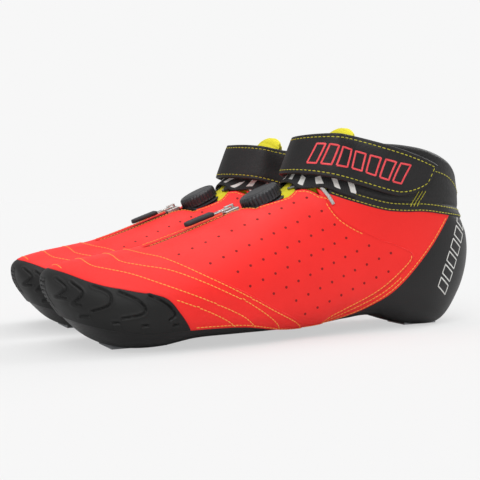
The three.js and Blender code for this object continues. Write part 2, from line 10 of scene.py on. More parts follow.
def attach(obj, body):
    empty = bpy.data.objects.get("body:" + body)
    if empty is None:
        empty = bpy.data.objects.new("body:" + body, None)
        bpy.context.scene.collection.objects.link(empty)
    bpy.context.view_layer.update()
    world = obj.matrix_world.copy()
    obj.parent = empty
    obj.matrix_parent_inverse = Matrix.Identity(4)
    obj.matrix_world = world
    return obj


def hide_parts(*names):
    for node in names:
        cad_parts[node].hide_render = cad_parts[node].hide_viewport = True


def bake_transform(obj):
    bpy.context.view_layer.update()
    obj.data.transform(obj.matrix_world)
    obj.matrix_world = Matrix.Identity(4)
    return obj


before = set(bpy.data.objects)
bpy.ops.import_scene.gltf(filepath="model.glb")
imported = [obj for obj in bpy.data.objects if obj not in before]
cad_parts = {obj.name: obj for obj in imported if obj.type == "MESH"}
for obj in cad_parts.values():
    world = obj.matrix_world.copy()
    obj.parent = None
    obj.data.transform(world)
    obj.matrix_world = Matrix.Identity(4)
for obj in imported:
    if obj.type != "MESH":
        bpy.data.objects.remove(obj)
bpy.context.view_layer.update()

bl_info = {
    "name": "Speed skate boots",
    "version": (1, 0, 0),
    "blender": (4, 5, 0),
    "location": "3D View > Sidebar > Skate boots",
    "description": "Builds a pair of low-cut speed skate boots piece by piece",
    "category": "Object",
}

SIDES = ("left", "right")

# ---------------------------------------------------------------- the boot's form, in millimetres
# x is 0 near the heel and negative at the toe, y is 0 on the centre plane, z is 0 on the floor.
# top x, z, bottom x, z, half width, shift to the inner side, height share of the widest point, powers
RIBS = np.array([
    [-280.2, 42, -280.2, 40, 0.6, 8, 0.5, 2, 2],
    [-278.9, 45.5, -278.5, 33, 14, 8, 0.5, 2, 2.1],
    [-275, 48, -273, 24, 25, 7, 0.5, 2.1, 2.2],
    [-267.3, 50.3, -264.8, 14, 34.5, 5.5, 0.48, 2.1, 2.4],
    [-256, 52.5, -253.5, 4.6, 42, 3.5, 0.45, 2.1, 2.7],
    [-241, 54.8, -239, 0.4, 46.5, 1.5, 0.42, 2.1, 3],
    [-222, 58.2, -221, 0.4, 49, 0, 0.4, 2.1, 3.2],
    [-200, 65, -200, 4.2, 49, -1, 0.36, 2, 3.6],
    [-178, 73, -174, 5, 46.5, -2, 0.34, 1.95, 4],
    [-158, 80.5, -147, 5.2, 43, -2.5, 0.34, 1.95, 4.2],
    [-145.5, 85.3, -120, 5.8, 40, -2, 0.36, 1.95, 4],
    [-135.5, 89, -95, 7.6, 38, -1, 0.4, 2, 3.4],
    [-128.5, 92.8, -72, 8, 36.5, 0, 0.42, 2.1, 3],
    [-123.5, 97, -46, 0.8, 36, 0, 0.44, 2.2, 2.8],
    [-119.5, 100.5, -20.5, 0.6, 35.5, 0, 0.46, 2.3, 2.6],
    [-116, 104, -3.5, 18, 35, 0, 0.48, 2.3, 2.3],
    [-112.2, 108, 4.6, 38, 34.5, 0, 0.5, 2.3, 2.2],
    [-108, 112.5, 4.4, 57, 34, 0, 0.5, 2.3, 2.2],
    [-103.5, 117.2, -4.4, 75, 34.5, 0, 0.5, 2.3, 2.2],
    [-99, 122, -9, 92, 36, 0, 0.5, 2.3, 2.3],
    [-94, 127.5, -11, 108, 37, 0, 0.5, 2.3, 2.3],
    [-89, 133, -13, 124, 37, 0, 0.5, 2.3, 2.3],
], float)
LAST_RIB = len(RIBS) - 1
TOE_TIP = (-280.3, 8, 41)
FLOOR_GAP = 0.1
SHIFT_X = 287.3 / 2 - 4.8
SHIFT_Y = 57.5

# Seam lines in side view, each from the toe to the heel.
BUMPER_TOP = [
    [-293, 51.5], [-274, 48], [-257, 41.3], [-240, 37.4], [-222, 33.2], [-213.5, 24], [-206, 12], [-201, 0],
    [-199, -12],
]
SHELL_TOP = [
    [-300, 31], [-276, 21.5], [-262, 16.5], [-246, 13], [-229, 11.5], [-206, 12.6], [-176, 12], [-152, 8.4],
    [-136, 7], [-118, 7.8], [-98, 11.4], [-81, 17], [-66, 26], [-52, 38], [-37, 53.5], [-23, 71], [-18, 78],
]
VAMP_REAR = [
    [-246, 75], [-231, 58], [-216, 53], [-197, 43.5], [-175, 32.5], [-155, 21.5], [-135, 11], [-125, 0],
]
QUARTER_REAR = [
    [-112, 95], [-106.5, 78], [-98, 69], [-80, 60], [-59, 52], [-53, 46.5], [-59.5, 38.5], [-80, 24.3],
    [-103, 15.5], [-115, 10.5], [-121, 0],
]
COLLAR_LOW = [
    [-145, 103], [-125, 95], [-108, 87.5], [-92, 81.5], [-73, 76], [-58, 74.4], [-43, 74], [-22, 71], [-2, 68.2],
    [14, 67],
]
COLLAR_RIM = [
    [-112, 128], [-95, 121.6], [-78, 119], [-60, 117.2], [-43, 114], [-27, 107.8], [-16, 100], [-7, 91.5], [6, 83],
]
COLLAR_FRONT = [[-109.5, 84], [-103, 104], [-94, 130]]
ZIP_SLOT = 5.4
THROAT = [
    [-222, 0], [-220.5, ZIP_SLOT * 0.8], [-217, ZIP_SLOT], [-164, ZIP_SLOT], [-157, 9], [-152, 14.6], [-130, 16],
    [-124.5, 14.5], [-119.5, 18], [-113, 23.5], [-105, 27], [-98, 29.5], [-95, 24], [-94, 0],
]
VAMP_LINES = [
    [(-277, 55), (-272.5, 51), (-271.5, 47), (-264, 43), (-253.5, 40), (-240, 37), (-229.5, 34), (-216.6, 30),
     (-199, 23), (-183, 14.6), (-176, 8)],
    [(-253, 56), (-256, 53.7), (-258.7, 51.5), (-256.4, 49), (-250, 47.4), (-238.5, 44.6), (-223.7, 39),
     (-198.5, 29), (-178.5, 19.6), (-171, 14.7), (-163, 8)],
    [(-244, 58), (-242.5, 54.5), (-240.6, 51), (-230, 48.6), (-217, 46), (-201, 39.6), (-177.5, 28.4),
     (-171, 25), (-153, 12.6), (-146, 4)],
]


def through(at, values):
    """A smooth curve through rows of values at whole numbers."""
    values = np.asarray(values, float)
    at = np.asarray(at, float)
    last = len(values) - 2
    i = np.clip(np.floor(at).astype(int), 0, last)
    t = at - i
    if values.ndim > 1:
        t = t.reshape(t.shape + (1,) * (values.ndim - 1))
    b, c = values[i], values[i + 1]
    first = (i == 0).reshape(t.shape)
    final = (i == last).reshape(t.shape)
    a = np.where(first, 2 * b - c, values[np.maximum(i - 1, 0)])
    d = np.where(final, 2 * c - b, values[np.minimum(i + 2, last + 1)])
    return b + 0.5 * t * (c - a + t * (2 * a - 5 * b + 4 * c - d + t * (3 * (b - c) + d - a)))


def form_point(s, angle):
    """Points of the form: s counts ribs from the toe, angle 0 is the top line, positive is the outer side."""
    s, angle = np.asarray(s, float), np.asarray(angle, float)
    tx, tz, bx, bz, half, shift, mid, top, bottom = np.moveaxis(through(s, RIBS), -1, 0)
    c, w = np.abs(np.cos(angle)), np.abs(np.sin(angle))
    upper = np.abs(angle) <= math.pi / 2
    power = 2 / np.where(upper, top, bottom)
    share = np.where(upper, mid + (1 - mid) * c**power, mid * (1 - c**power))
    y = shift - np.sign(angle) * half * w**power
    return np.stack([bx + (tx - bx) * share, y, np.maximum(bz + (tz - bz) * share, FLOOR_GAP)], -1)


def form_normal(s, angle, step=0.02):
    """The form's outward normals."""
    a = form_point(np.maximum(s - step, 0), angle)
    b = form_point(np.minimum(s + step, LAST_RIB), angle)
    c, d = form_point(s, angle - step), form_point(s, angle + step)
    n = np.cross(d - c, b - a)
    return n / np.maximum(np.linalg.norm(n, axis=-1, keepdims=True), 1e-9)


def side_place(x, z, side):
    """The station and angle of the form's point at a place in side view. side is 1 outside and -1 inside."""
    x, z = np.broadcast_arrays(np.asarray(x, float), np.asarray(z, float))
    low, high = np.zeros(x.shape), np.full(x.shape, float(LAST_RIB))
    for _ in range(32):
        s = (low + high) / 2
        tx, tz, bx, bz = np.moveaxis(through(s, RIBS[:, :4]), -1, 0)
        ahead = (tx - bx) * (z - bz) - (tz - bz) * (x - bx) < 0
        low, high = np.where(ahead, s, low), np.where(ahead, high, s)
    s = (low + high) / 2
    tx, tz, bx, bz, _, _, mid, top, bottom = np.moveaxis(through(s, RIBS), -1, 0)
    share = ((x - bx) * (tx - bx) + (z - bz) * (tz - bz)) / ((tx - bx) ** 2 + (tz - bz) ** 2)
    share = np.clip(share, 0, 1)
    over = share > mid
    c = np.where(over, np.clip((share - mid) / (1 - mid), 0, 1) ** (top / 2),
                 np.clip(1 - share / mid, 0, 1) ** (bottom / 2))
    return s, side * np.where(over, np.arccos(c), math.pi - np.arccos(c))


def side_point(x, z, side, out=0.0):
    """Points at a height over the form, at places in side view."""
    s, angle = side_place(x, z, side)
    return form_point(s, angle) + form_normal(s, angle) * np.asarray(out)[..., None]


def smooth_line(points, count):
    return through(np.linspace(0, len(points) - 1, count), np.array(points, float))


def line_distance(points, line):
    """Distance of 2-D points from a polyline, the direction to it, and which side they are on (left is +)."""
    best = np.full(len(points), 1e9)
    away = np.zeros((len(points), 2))
    sign = np.ones(len(points))
    clear = np.zeros(len(points))
    for i in range(len(line) - 1):
        a, b = line[i], line[i + 1]
        d = b - a
        t = np.clip(((points - a) @ d) / max(d @ d, 1e-9), 0, 1)
        if i == 0:
            t = np.minimum(((points - a) @ d) / (d @ d), 1)
        if i == len(line) - 2:
            t = np.maximum(((points - a) @ d) / (d @ d), 0)
        gap = points - (a + t[:, None] * d)
        far = np.hypot(gap[:, 0], gap[:, 1])
        turn = (d[0] * gap[:, 1] - d[1] * gap[:, 0]) / max(np.hypot(*d), 1e-9)
        near = (far < best - 1e-7) | ((far < best + 1e-7) & (np.abs(turn) > clear))
        best = np.where(near, np.minimum(far, best), best)
        clear = np.where(near, np.abs(turn), clear)
        away[near] = gap[near]
        sign = np.where(near, np.where(turn >= 0, 1.0, -1.0), sign)
    return best, away, sign


def edge_of(line, plan=False, count=56):
    """A function that gives the signed distance over the surface from a seam line, + on the line's left."""
    dense = smooth_line(line, count) if count else np.array(line, float)

    def measure(points, normals):
        flat = np.stack([points[:, 0], np.abs(points[:, 1])], -1) if plan else points[:, [0, 2]]
        far, away, sign = line_distance(flat, dense)
        unit = away / np.maximum(far, 1e-6)[:, None]
        if plan:
            lean = unit[:, 0] * normals[:, 0] + unit[:, 1] * normals[:, 1] * np.sign(points[:, 1])
        else:
            lean = unit[:, 0] * normals[:, 0] + unit[:, 1] * normals[:, 2]
        return sign * far / np.sqrt(np.maximum(1 - lean**2, 0.12))

    return measure


bumper_edge = edge_of(BUMPER_TOP)
shell_edge = edge_of(SHELL_TOP)
vamp_edge = edge_of(VAMP_REAR)
quarter_edge = edge_of(QUARTER_REAR)
collar_edge = edge_of(COLLAR_LOW)
rim_edge = edge_of(COLLAR_RIM)
front_edge = edge_of(COLLAR_FRONT, count=0)
throat_edge = edge_of(THROAT, plan=True, count=0)


def throat_room(p, n):
    """Distance from the throat's edge, + outside the throat."""
    ahead = np.hypot(np.maximum(THROAT[0][0] - p[:, 0], 0), np.abs(p[:, 1]))
    return np.where(p[:, 0] < THROAT[0][0], np.maximum(ahead, 0.01), throat_edge(p, n))


# ---------------------------------------------------------------- meshes over the form
class Weave:
    """A fine triangle mesh over the form, that can be cut along level lines of any measure."""

    def __init__(self, first=0.0, last=float(LAST_RIB), pitch=1.5, around=208):
        fine = np.linspace(first, last, 1200)
        angles = np.linspace(-math.pi, math.pi, 73)
        grid = form_point(fine[:, None], angles[None, :])
        travel = np.r_[0, np.cumsum(np.linalg.norm(np.diff(grid, axis=0), axis=2).max(1))]
        stations = np.interp(np.linspace(0, travel[-1], int(travel[-1] / pitch)), travel, fine)
        dense = np.linspace(-math.pi, math.pi, 721)
        rows = form_point(stations[:, None], dense[None, :])
        length = np.concatenate([np.zeros((len(stations), 1)),
                                 np.cumsum(np.linalg.norm(np.diff(rows, axis=1), axis=2), axis=1)], 1)
        share = np.linspace(0, 1, around + 1)
        a = np.stack([np.interp(share * row[-1], row, dense) for row in length])
        s = np.repeat(stations[:, None], around + 1, 1)
        self.at = np.stack([s.ravel(), a.ravel()], -1)
        i, j = np.meshgrid(np.arange(len(stations) - 1), np.arange(around), indexing="ij")
        k = (i * (around + 1) + j).ravel()
        n = around + 1
        self.faces = np.concatenate([np.stack([k, k + 1, k + n + 1], -1), np.stack([k, k + n + 1, k + n], -1)])
        self.place()

    def place(self):
        self.points = form_point(self.at[:, 0], self.at[:, 1])
        self.normals = form_normal(self.at[:, 0], self.at[:, 1])
        tip = self.at[:, 0] < 1e-9
        self.points[tip] = TOE_TIP
        self.normals[tip] = [-1, 0, 0]

    def copy(self):
        other = object.__new__(Weave)
        other.at, other.faces = self.at.copy(), self.faces.copy()
        other.points, other.normals = self.points.copy(), self.normals.copy()
        return other

    def measure(self, rule):
        return rule(self.points, self.normals)

    def split(self, values, level):
        """Cuts every face along a level line. Returns the values with those of the new points."""
        value = values - level
        value = np.where(np.abs(value) < 1e-5, 1e-5, value)
        over = value > 0
        count = over[self.faces].sum(1)
        cut = self.faces[(count == 1) | (count == 2)]
        if not len(cut):
            return values
        keep = self.faces[(count == 0) | (count == 3)]
        lone = np.where((over[cut].sum(1) == 1)[:, None], over[cut], ~over[cut])
        turn = lone.argmax(1)
        rows = np.arange(len(cut))
        a, b, c = (cut[rows, (turn + k) % 3] for k in range(3))
        pairs = np.sort(np.concatenate([np.stack([a, b], -1), np.stack([a, c], -1)]), 1)
        unique, back = np.unique(pairs, axis=0, return_inverse=True)
        back = back.ravel()
        i, j = unique[:, 0], unique[:, 1]
        t = value[i] / (value[i] - value[j])
        fresh = len(self.at) + np.arange(len(unique))
        kept, kept_points, kept_normals = self.at, self.points, self.normals
        self.at = kept[i] + (kept[j] - kept[i]) * t[:, None]
        self.place()
        self.at = np.concatenate([kept, self.at])
        self.points = np.concatenate([kept_points, self.points])
        self.normals = np.concatenate([kept_normals, self.normals])
        ab, ac = fresh[back[:len(cut)]], fresh[back[len(cut):]]
        self.faces = np.concatenate([keep, np.stack([a, ab, ac], -1), np.stack([ab, b, c], -1),
                                     np.stack([ab, c, ac], -1)])
        return np.concatenate([values, np.full(len(unique), float(level))])

    def keep(self, values, level=0.0):
        """Drops the faces and points below a level."""
        inside = (values >= level - 1e-4)[self.faces].all(1)
        self.faces = self.faces[inside]
        used = np.unique(self.faces)
        fresh = np.zeros(len(self.at), int)
        fresh[used] = np.arange(len(used))
        self.faces = fresh[self.faces]
        self.at, self.points, self.normals = self.at[used], self.points[used], self.normals[used]

    def contour(self, values, level):
        """The level line of a measure, as lists of (station, angle)."""
        other = self.copy()
        start = len(other.at)
        other.split(values, level)
        faces = other.faces
        fresh = faces >= start
        two = faces[fresh.sum(1) == 2]
        marks = two >= start
        edges = np.sort(two[marks].reshape(-1, 2), 1)
        edges = np.unique(edges, axis=0)
        links = {}
        for p, q in edges:
            links.setdefault(int(p), []).append(int(q))
            links.setdefault(int(q), []).append(int(p))
        seen, lines = set(), []
        starts = [p for p, near in links.items() if len(near) == 1] + list(links)
        for p in starts:
            if p in seen:
                continue
            line = [p]
            seen.add(p)
            while True:
                onward = [q for q in links[line[-1]] if q not in seen]
                if not onward:
                    break
                line.append(onward[0])
                seen.add(onward[0])
            if len(line) > 3:
                lines.append(other.at[line])
        return lines


def rolled(depth, radius):
    """How far an edge of this radius falls below the face, at a distance from the border."""
    t = np.clip(depth / radius, 0, 1)
    return radius * (1 - np.sqrt(np.maximum(1 - (1 - t) ** 2, 0)))


def panel_mesh(weave, rules, top, under, levels, marks=()):
    """A closed panel: the part of the form where every rule is above 0, with an outer and an inner face.
    levels are distances from the border, and marks are measures with levels, that get extra points."""
    work = weave.copy()
    for rule in rules:
        work.keep(work.split(work.measure(rule), 0.0))
    for level in levels:
        for rule in rules:
            work.split(work.measure(rule), level)
    for rule, steps in marks:
        for level in steps:
            work.split(work.measure(rule), level)
    used = np.unique(work.faces)
    remap = np.zeros(len(work.at), int)
    remap[used] = np.arange(len(used))
    faces = remap[work.faces]
    p, n = work.points[used], work.normals[used]
    depth = np.min([np.maximum(rule(p, n), 0) for rule in rules], axis=0)
    outer = p + n * top(p, n, depth)[:, None]
    inner = p + n * under(p, n, depth)[:, None]
    return closed_wall(outer, inner, faces, depth)


def closed_wall(outer, inner, faces, depth):
    """Joins two layers of the same faces along their free edges, and welds the seam round the form."""
    keys = np.round(outer, 3)
    _, first, back = np.unique(keys, axis=0, return_index=True, return_inverse=True)
    back = back.ravel()
    outer, inner, depth = outer[first], inner[first], depth[first]
    faces = back[faces]
    faces = faces[(faces[:, 0] != faces[:, 1]) & (faces[:, 1] != faces[:, 2]) & (faces[:, 0] != faces[:, 2])]
    count = len(outer)
    edges = np.concatenate([faces[:, [0, 1]], faces[:, [1, 2]], faces[:, [2, 0]]])
    code = edges[:, 0].astype(np.int64) * count + edges[:, 1]
    other = edges[:, 1].astype(np.int64) * count + edges[:, 0]
    free = edges[~np.isin(code, other)]
    a, b = free[:, 0], free[:, 1]
    walls = np.concatenate([np.stack([b, a, a + count], -1), np.stack([b, a + count, b + count], -1)])
    every = np.concatenate([faces, faces[:, ::-1] + count, walls])
    return np.concatenate([outer, inner]), every, np.concatenate([depth, depth])


# ---------------------------------------------------------------- placing pieces
def placed(points, side):
    """Boot coordinates in millimetres to the frame in metres."""
    points = np.asarray(points, float)
    mirror = 1 if side == "left" else -1
    return np.stack([points[..., 0] + SHIFT_X, mirror * (points[..., 1] - SHIFT_Y), points[..., 2]], -1) / 1000


def make_mesh(name, points, faces, side, values=None, sharp=40):
    """A piece from boot coordinates, mirrored for the right boot."""
    mesh = bpy.data.meshes.new(name)
    corners = placed(points, side)
    if side == "right":
        faces = [tuple(face)[::-1] for face in faces]
    elif isinstance(faces, np.ndarray):
        faces = faces.tolist()
    mesh.from_pydata(corners.tolist(), [], faces)
    mesh.validate()
    for key, data in (values or {}).items():
        attribute = mesh.attributes.new(key, "FLOAT", "POINT")
        attribute.data.foreach_set("value", np.asarray(data, np.float32))
    mesh.polygons.foreach_set("use_smooth", np.ones(len(mesh.polygons), bool))
    if sharp:
        mesh.set_sharp_from_angle(angle=math.radians(sharp))
    mesh.update()
    piece = bpy.data.objects.new(name, mesh)
    bpy.context.scene.collection.objects.link(piece)
    return piece


def fix_outward(piece, merge=True):
    """Turns every face of a closed piece outwards. Without merging, its attributes stay as they are."""
    shape = bmesh.new()
    shape.from_mesh(piece.data)
    if merge:
        bmesh.ops.remove_doubles(shape, verts=shape.verts, dist=1e-7)
    bmesh.ops.recalc_face_normals(shape, faces=shape.faces)
    shape.to_mesh(piece.data)
    shape.free()
    return piece


def finish_piece(piece, side, body, finish, nodes=()):
    piece.data.materials.clear()
    piece.data.materials.append(material_of(finish))
    if body:
        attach(piece, f"{side}_{body}")
    if nodes:
        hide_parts(*[f"{side}_{node}" for node in nodes])
    return piece


def sheet_grid(points, ring=False):
    """Faces of a grid of points, whose rows may be closed rings."""
    rows, columns = points.shape[:2]
    i, j = np.meshgrid(np.arange(rows - 1), np.arange(columns if ring else columns - 1), indexing="ij")
    i, j = i.ravel(), j.ravel()
    at = lambda a, b: a * columns + b % columns
    return np.stack([at(i, j), at(i + 1, j), at(i + 1, j + 1), at(i, j + 1)], -1)


def slab(surface, normals, low, high, edge, radius=0.6):
    """A closed sheet between two heights over a grid of points, with rolled borders.
    low and high are heights over the grid, edge is each point's distance to the border."""
    rows, columns = surface.shape[:2]
    fall = rolled(edge, radius)
    over = surface + normals * (high - fall)[..., None]
    below = surface + normals * (low + fall * 0.6)[..., None]
    count = rows * columns
    quads = sheet_grid(surface)
    faces = [tuple(q) for q in quads] + [tuple(q[::-1] + count) for q in quads]
    border = ([(0, j) for j in range(columns)] + [(i, columns - 1) for i in range(1, rows)]
              + [(rows - 1, j) for j in range(columns - 2, -1, -1)] + [(i, 0) for i in range(rows - 2, 0, -1)])
    ring = [i * columns + j for i, j in border]
    for a, b in zip(ring, ring[1:] + ring[:1]):
        faces.append((a, b, b + count, a + count))
    return np.concatenate([over.reshape(-1, 3), below.reshape(-1, 3)]), faces


def grid_normals(points):
    u = np.gradient(points, axis=0)
    v = np.gradient(points, axis=1)
    n = np.cross(u, v)
    return n / np.maximum(np.linalg.norm(n, axis=-1, keepdims=True), 1e-9)


def tube(path, radius, sides=8, ups=None, flat=1.0):
    """A closed tube along points. flat squeezes it along its up direction."""
    path = np.asarray(path, float)
    along = np.gradient(path, axis=0)
    along /= np.maximum(np.linalg.norm(along, axis=1, keepdims=True), 1e-9)
    if ups is None:
        ups = np.tile([0.0, 0.0, 1.0], (len(path), 1))
    across = np.cross(along, ups)
    across /= np.maximum(np.linalg.norm(across, axis=1, keepdims=True), 1e-9)
    ups = np.cross(across, along)
    radius = np.broadcast_to(np.asarray(radius, float), (len(path),))
    turn = np.linspace(0, 2 * math.pi, sides, endpoint=False)
    ring = (across[:, None] * np.cos(turn)[None, :, None] + ups[:, None] * np.sin(turn)[None, :, None] * flat)
    points = path[:, None] + ring * radius[:, None, None]
    faces = [tuple(q[::-1]) for q in sheet_grid(points, ring=True)]
    points = points.reshape(-1, 3)
    last = (len(path) - 1) * sides
    faces.append(tuple(range(sides)))
    faces.append(tuple(last + k for k in reversed(range(sides))))
    return points, faces


def joined(parts):
    """Several (points, faces) as one."""
    points, faces, start = [], [], 0
    for part_points, part_faces in parts:
        points.append(np.asarray(part_points, float).reshape(-1, 3))
        faces += [tuple(int(k) + start for k in face) for face in part_faces]
        start += len(points[-1])
    return np.concatenate(points), faces


def lathe(profile, sides=64, ripple=None):
    """A closed turning about Z. ripple changes the radius with the angle and height."""
    turn = np.linspace(0, 2 * math.pi, sides, endpoint=False)
    rings, faces = [], []
    for r, h in profile:
        radius = np.full(sides, float(r))
        if ripple is not None:
            radius = ripple(radius, turn, h)
        rings.append(np.stack([radius * np.cos(turn), radius * np.sin(turn), np.full(sides, float(h))], -1))
    points = np.array(rings)
    for i in range(len(profile) - 1):
        for j in range(sides):
            k = (j + 1) % sides
            faces.append((i * sides + j, i * sides + k, (i + 1) * sides + k, (i + 1) * sides + j))
    points = points.reshape(-1, 3)
    if profile[0][0] > 0:
        faces.append(tuple(reversed(range(sides))))
    if profile[-1][0] > 0:
        faces.append(tuple((len(profile) - 1) * sides + k for k in range(sides)))
    return points, faces


def rounded_block(size, centre, radius, segments=3):
    """A box with rounded edges, as (points, faces)."""
    shape = bmesh.new()
    bmesh.ops.create_cube(shape, size=1.0)
    bmesh.ops.scale(shape, vec=size, verts=shape.verts)
    bmesh.ops.bevel(shape, geom=list(shape.edges), offset=radius, segments=segments, profile=0.5,
                    affect="EDGES", clamp_overlap=True)
    bmesh.ops.translate(shape, vec=centre, verts=shape.verts)
    points = np.array([tuple(v.co) for v in shape.verts])
    faces = [tuple(v.index for v in face.verts) for face in shape.faces]
    shape.free()
    return points, faces


# ---------------------------------------------------------------- repeats
_SOCKETS = {}
# Sizes of the repeated shapes: along the row, across it, and height.
RED_STITCH, COLLAR_STITCH, STRAP_STITCH = (2.3, 0.6, 0.45), (2.3, 0.6, 0.5), (2.5, 0.65, 0.5)
COIL_TOOTH, HOLE = (2.6, 0.85, 1.9), (1.6, 1.6, 0.16)


def repeat_tree(kind):
    """A node group that puts one small shape on every point of a mesh, turned along the point's directions."""
    name = f"repeat_{kind}"
    if name in bpy.data.node_groups:
        return bpy.data.node_groups[name]
    tree = bpy.data.node_groups.new(name, "GeometryNodeTree")
    face = tree.interface
    inputs = [("Points", "NodeSocketGeometry"), ("Length", "NodeSocketFloat"), ("Width", "NodeSocketFloat"),
              ("Height", "NodeSocketFloat"), ("Finish", "NodeSocketMaterial")]
    ids = {label: face.new_socket(label, in_out="INPUT", socket_type=sort).identifier for label, sort in inputs}
    face.new_socket("Pieces", in_out="OUTPUT", socket_type="NodeSocketGeometry")
    _SOCKETS[name] = ids
    nodes, links = tree.nodes, tree.links
    start, end = nodes.new("NodeGroupInput"), nodes.new("NodeGroupOutput")
    if kind == "stitch":
        shape = nodes.new("GeometryNodeMeshUVSphere")
        shape.inputs["Segments"].default_value = 8
        shape.inputs["Rings"].default_value = 5
        shape.inputs["Radius"].default_value = 0.5
    else:
        shape = nodes.new("GeometryNodeMeshCylinder")
        shape.inputs["Vertices"].default_value = 12
        shape.inputs["Radius"].default_value = 0.5
        shape.inputs["Depth"].default_value = 1.0
    size = nodes.new("ShaderNodeCombineXYZ")
    along, up = nodes.new("GeometryNodeInputNamedAttribute"), nodes.new("GeometryNodeInputNamedAttribute")
    for node, label in ((along, "along"), (up, "up")):
        node.data_type = "FLOAT_VECTOR"
        node.inputs["Name"].default_value = label
    turn_up = nodes.new("FunctionNodeAlignRotationToVector")
    turn_up.axis = "Z"
    turn_along = nodes.new("FunctionNodeAlignRotationToVector")
    turn_along.axis = "X"
    turn_along.pivot_axis = "Z"
    spread = nodes.new("GeometryNodeInstanceOnPoints")
    real = nodes.new("GeometryNodeRealizeInstances")
    paint = nodes.new("GeometryNodeSetMaterial")
    links.new(start.outputs["Points"], spread.inputs["Points"])
    links.new(shape.outputs["Mesh"], spread.inputs["Instance"])
    for k, label in enumerate(("Length", "Width", "Height")):
        links.new(start.outputs[label], size.inputs[k])
    links.new(size.outputs[0], spread.inputs["Scale"])
    links.new(up.outputs["Attribute"], turn_up.inputs["Vector"])
    links.new(turn_up.outputs["Rotation"], turn_along.inputs["Rotation"])
    links.new(along.outputs["Attribute"], turn_along.inputs["Vector"])
    links.new(turn_along.outputs["Rotation"], spread.inputs["Rotation"])
    links.new(spread.outputs["Instances"], real.inputs["Geometry"])
    links.new(real.outputs["Geometry"], paint.inputs["Geometry"])
    links.new(start.outputs["Finish"], paint.inputs["Material"])
    links.new(paint.outputs["Geometry"], end.inputs["Pieces"])
    return tree


def repeated(name, kind, side, places, size, finish):
    """Small shapes of one size (length, width, height) at (point, along, up) rows, as one plain mesh."""
    points = np.array([row[0] for row in places])
    mirror = np.array([1, 1 if side == "left" else -1, 1])
    mesh = bpy.data.meshes.new(name + "_points")
    mesh.from_pydata(placed(points, side).tolist(), [], [])
    for key, column in (("along", 1), ("up", 2)):
        attribute = mesh.attributes.new(key, "FLOAT_VECTOR", "POINT")
        data = np.array([row[column] for row in places]) * mirror
        attribute.data.foreach_set("vector", data.astype(np.float32).ravel())
    carrier = bpy.data.objects.new(name + "_points", mesh)
    bpy.context.scene.collection.objects.link(carrier)
    tree = repeat_tree(kind)
    material = material_of(finish)
    modifier = carrier.modifiers.new("repeat", "NODES")
    modifier.node_group = tree
    ids = _SOCKETS[tree.name]
    for label, value in zip(("Length", "Width", "Height"), size):
        modifier[ids[label]] = value / 1000
    modifier[ids["Finish"]] = material
    graph = bpy.context.evaluated_depsgraph_get()
    graph.update()
    result = bpy.data.meshes.new_from_object(carrier.evaluated_get(graph), depsgraph=graph)
    result.name = name
    result.polygons.foreach_set("use_smooth", np.full(len(result.polygons), kind == "stitch"))
    for key in ("along", "up"):
        if key in result.attributes:
            result.attributes.remove(result.attributes[key])
    bpy.data.objects.remove(carrier)
    piece = bpy.data.objects.new(name, result)
    bpy.context.scene.collection.objects.link(piece)
    if not len(result.polygons):
        raise RuntimeError(f"{name} came out empty")
    return piece


def along_line(points, ups, pitch, phase=0.5):
    """Evenly spaced (point, along, up) rows on a polyline."""
    points, ups = np.asarray(points), np.asarray(ups)
    travel = np.r_[0, np.cumsum(np.linalg.norm(np.diff(points, axis=0), axis=1))]
    count = int(travel[-1] / pitch)
    if count < 1:
        return []
    at = (np.arange(count) + phase) * travel[-1] / count
    place = lambda t, data: np.stack([np.interp(t, travel, data[:, k]) for k in range(3)], -1)
    ahead = place(np.minimum(at + 0.4, travel[-1]), points) - place(np.maximum(at - 0.4, 0), points)
    ahead /= np.maximum(np.linalg.norm(ahead, axis=1, keepdims=True), 1e-9)
    up = place(at, ups)
    up /= np.maximum(np.linalg.norm(up, axis=1, keepdims=True), 1e-9)
    return list(zip(place(at, points), ahead, up))


def form_rows(lines, height, pitch, test=None):
    """Stitch places along (station, angle) lines over the form, where the test on (points, normals) holds."""
    rows = []
    for line in lines:
        p, n = form_point(line[:, 0], line[:, 1]), form_normal(line[:, 0], line[:, 1])
        ok = test(p, n) if test else np.ones(len(p), bool)
        start = None
        for i in range(len(p) + 1):
            if i < len(p) and ok[i]:
                start = i if start is None else start
            elif start is not None:
                if i - start > 3:
                    up = np.asarray(height(p[start:i], n[start:i])).reshape(-1, 1)
                    rows += along_line(p[start:i] + n[start:i] * up, n[start:i], pitch)
                start = None
    return rows


# ---------------------------------------------------------------- finishes
class Wire:
    """A value on its way through a material's nodes."""

    def __init__(self, finish, socket):
        self.finish, self.socket = finish, socket

    def math(self, operation, *others):
        return self.finish.node("ShaderNodeMath", {"operation": operation}, *others)

    def __add__(self, other):
        return self.math("ADD", self, other)

    __radd__ = __add__

    def __mul__(self, other):
        return self.math("MULTIPLY", self, other)

    __rmul__ = __mul__

    def __sub__(self, other):
        return self.math("SUBTRACT", self, other)

    def __rsub__(self, other):
        return self.math("SUBTRACT", other, self)

    def sine(self):
        return self.math("SINE", self)

    def ramp(self, low, high, start=0.0, end=1.0):
        """This value carried from low..high to start..end, and held at both ends."""
        return self.finish.node("ShaderNodeMapRange", {"clamp": True}, self, low, high, start, end)


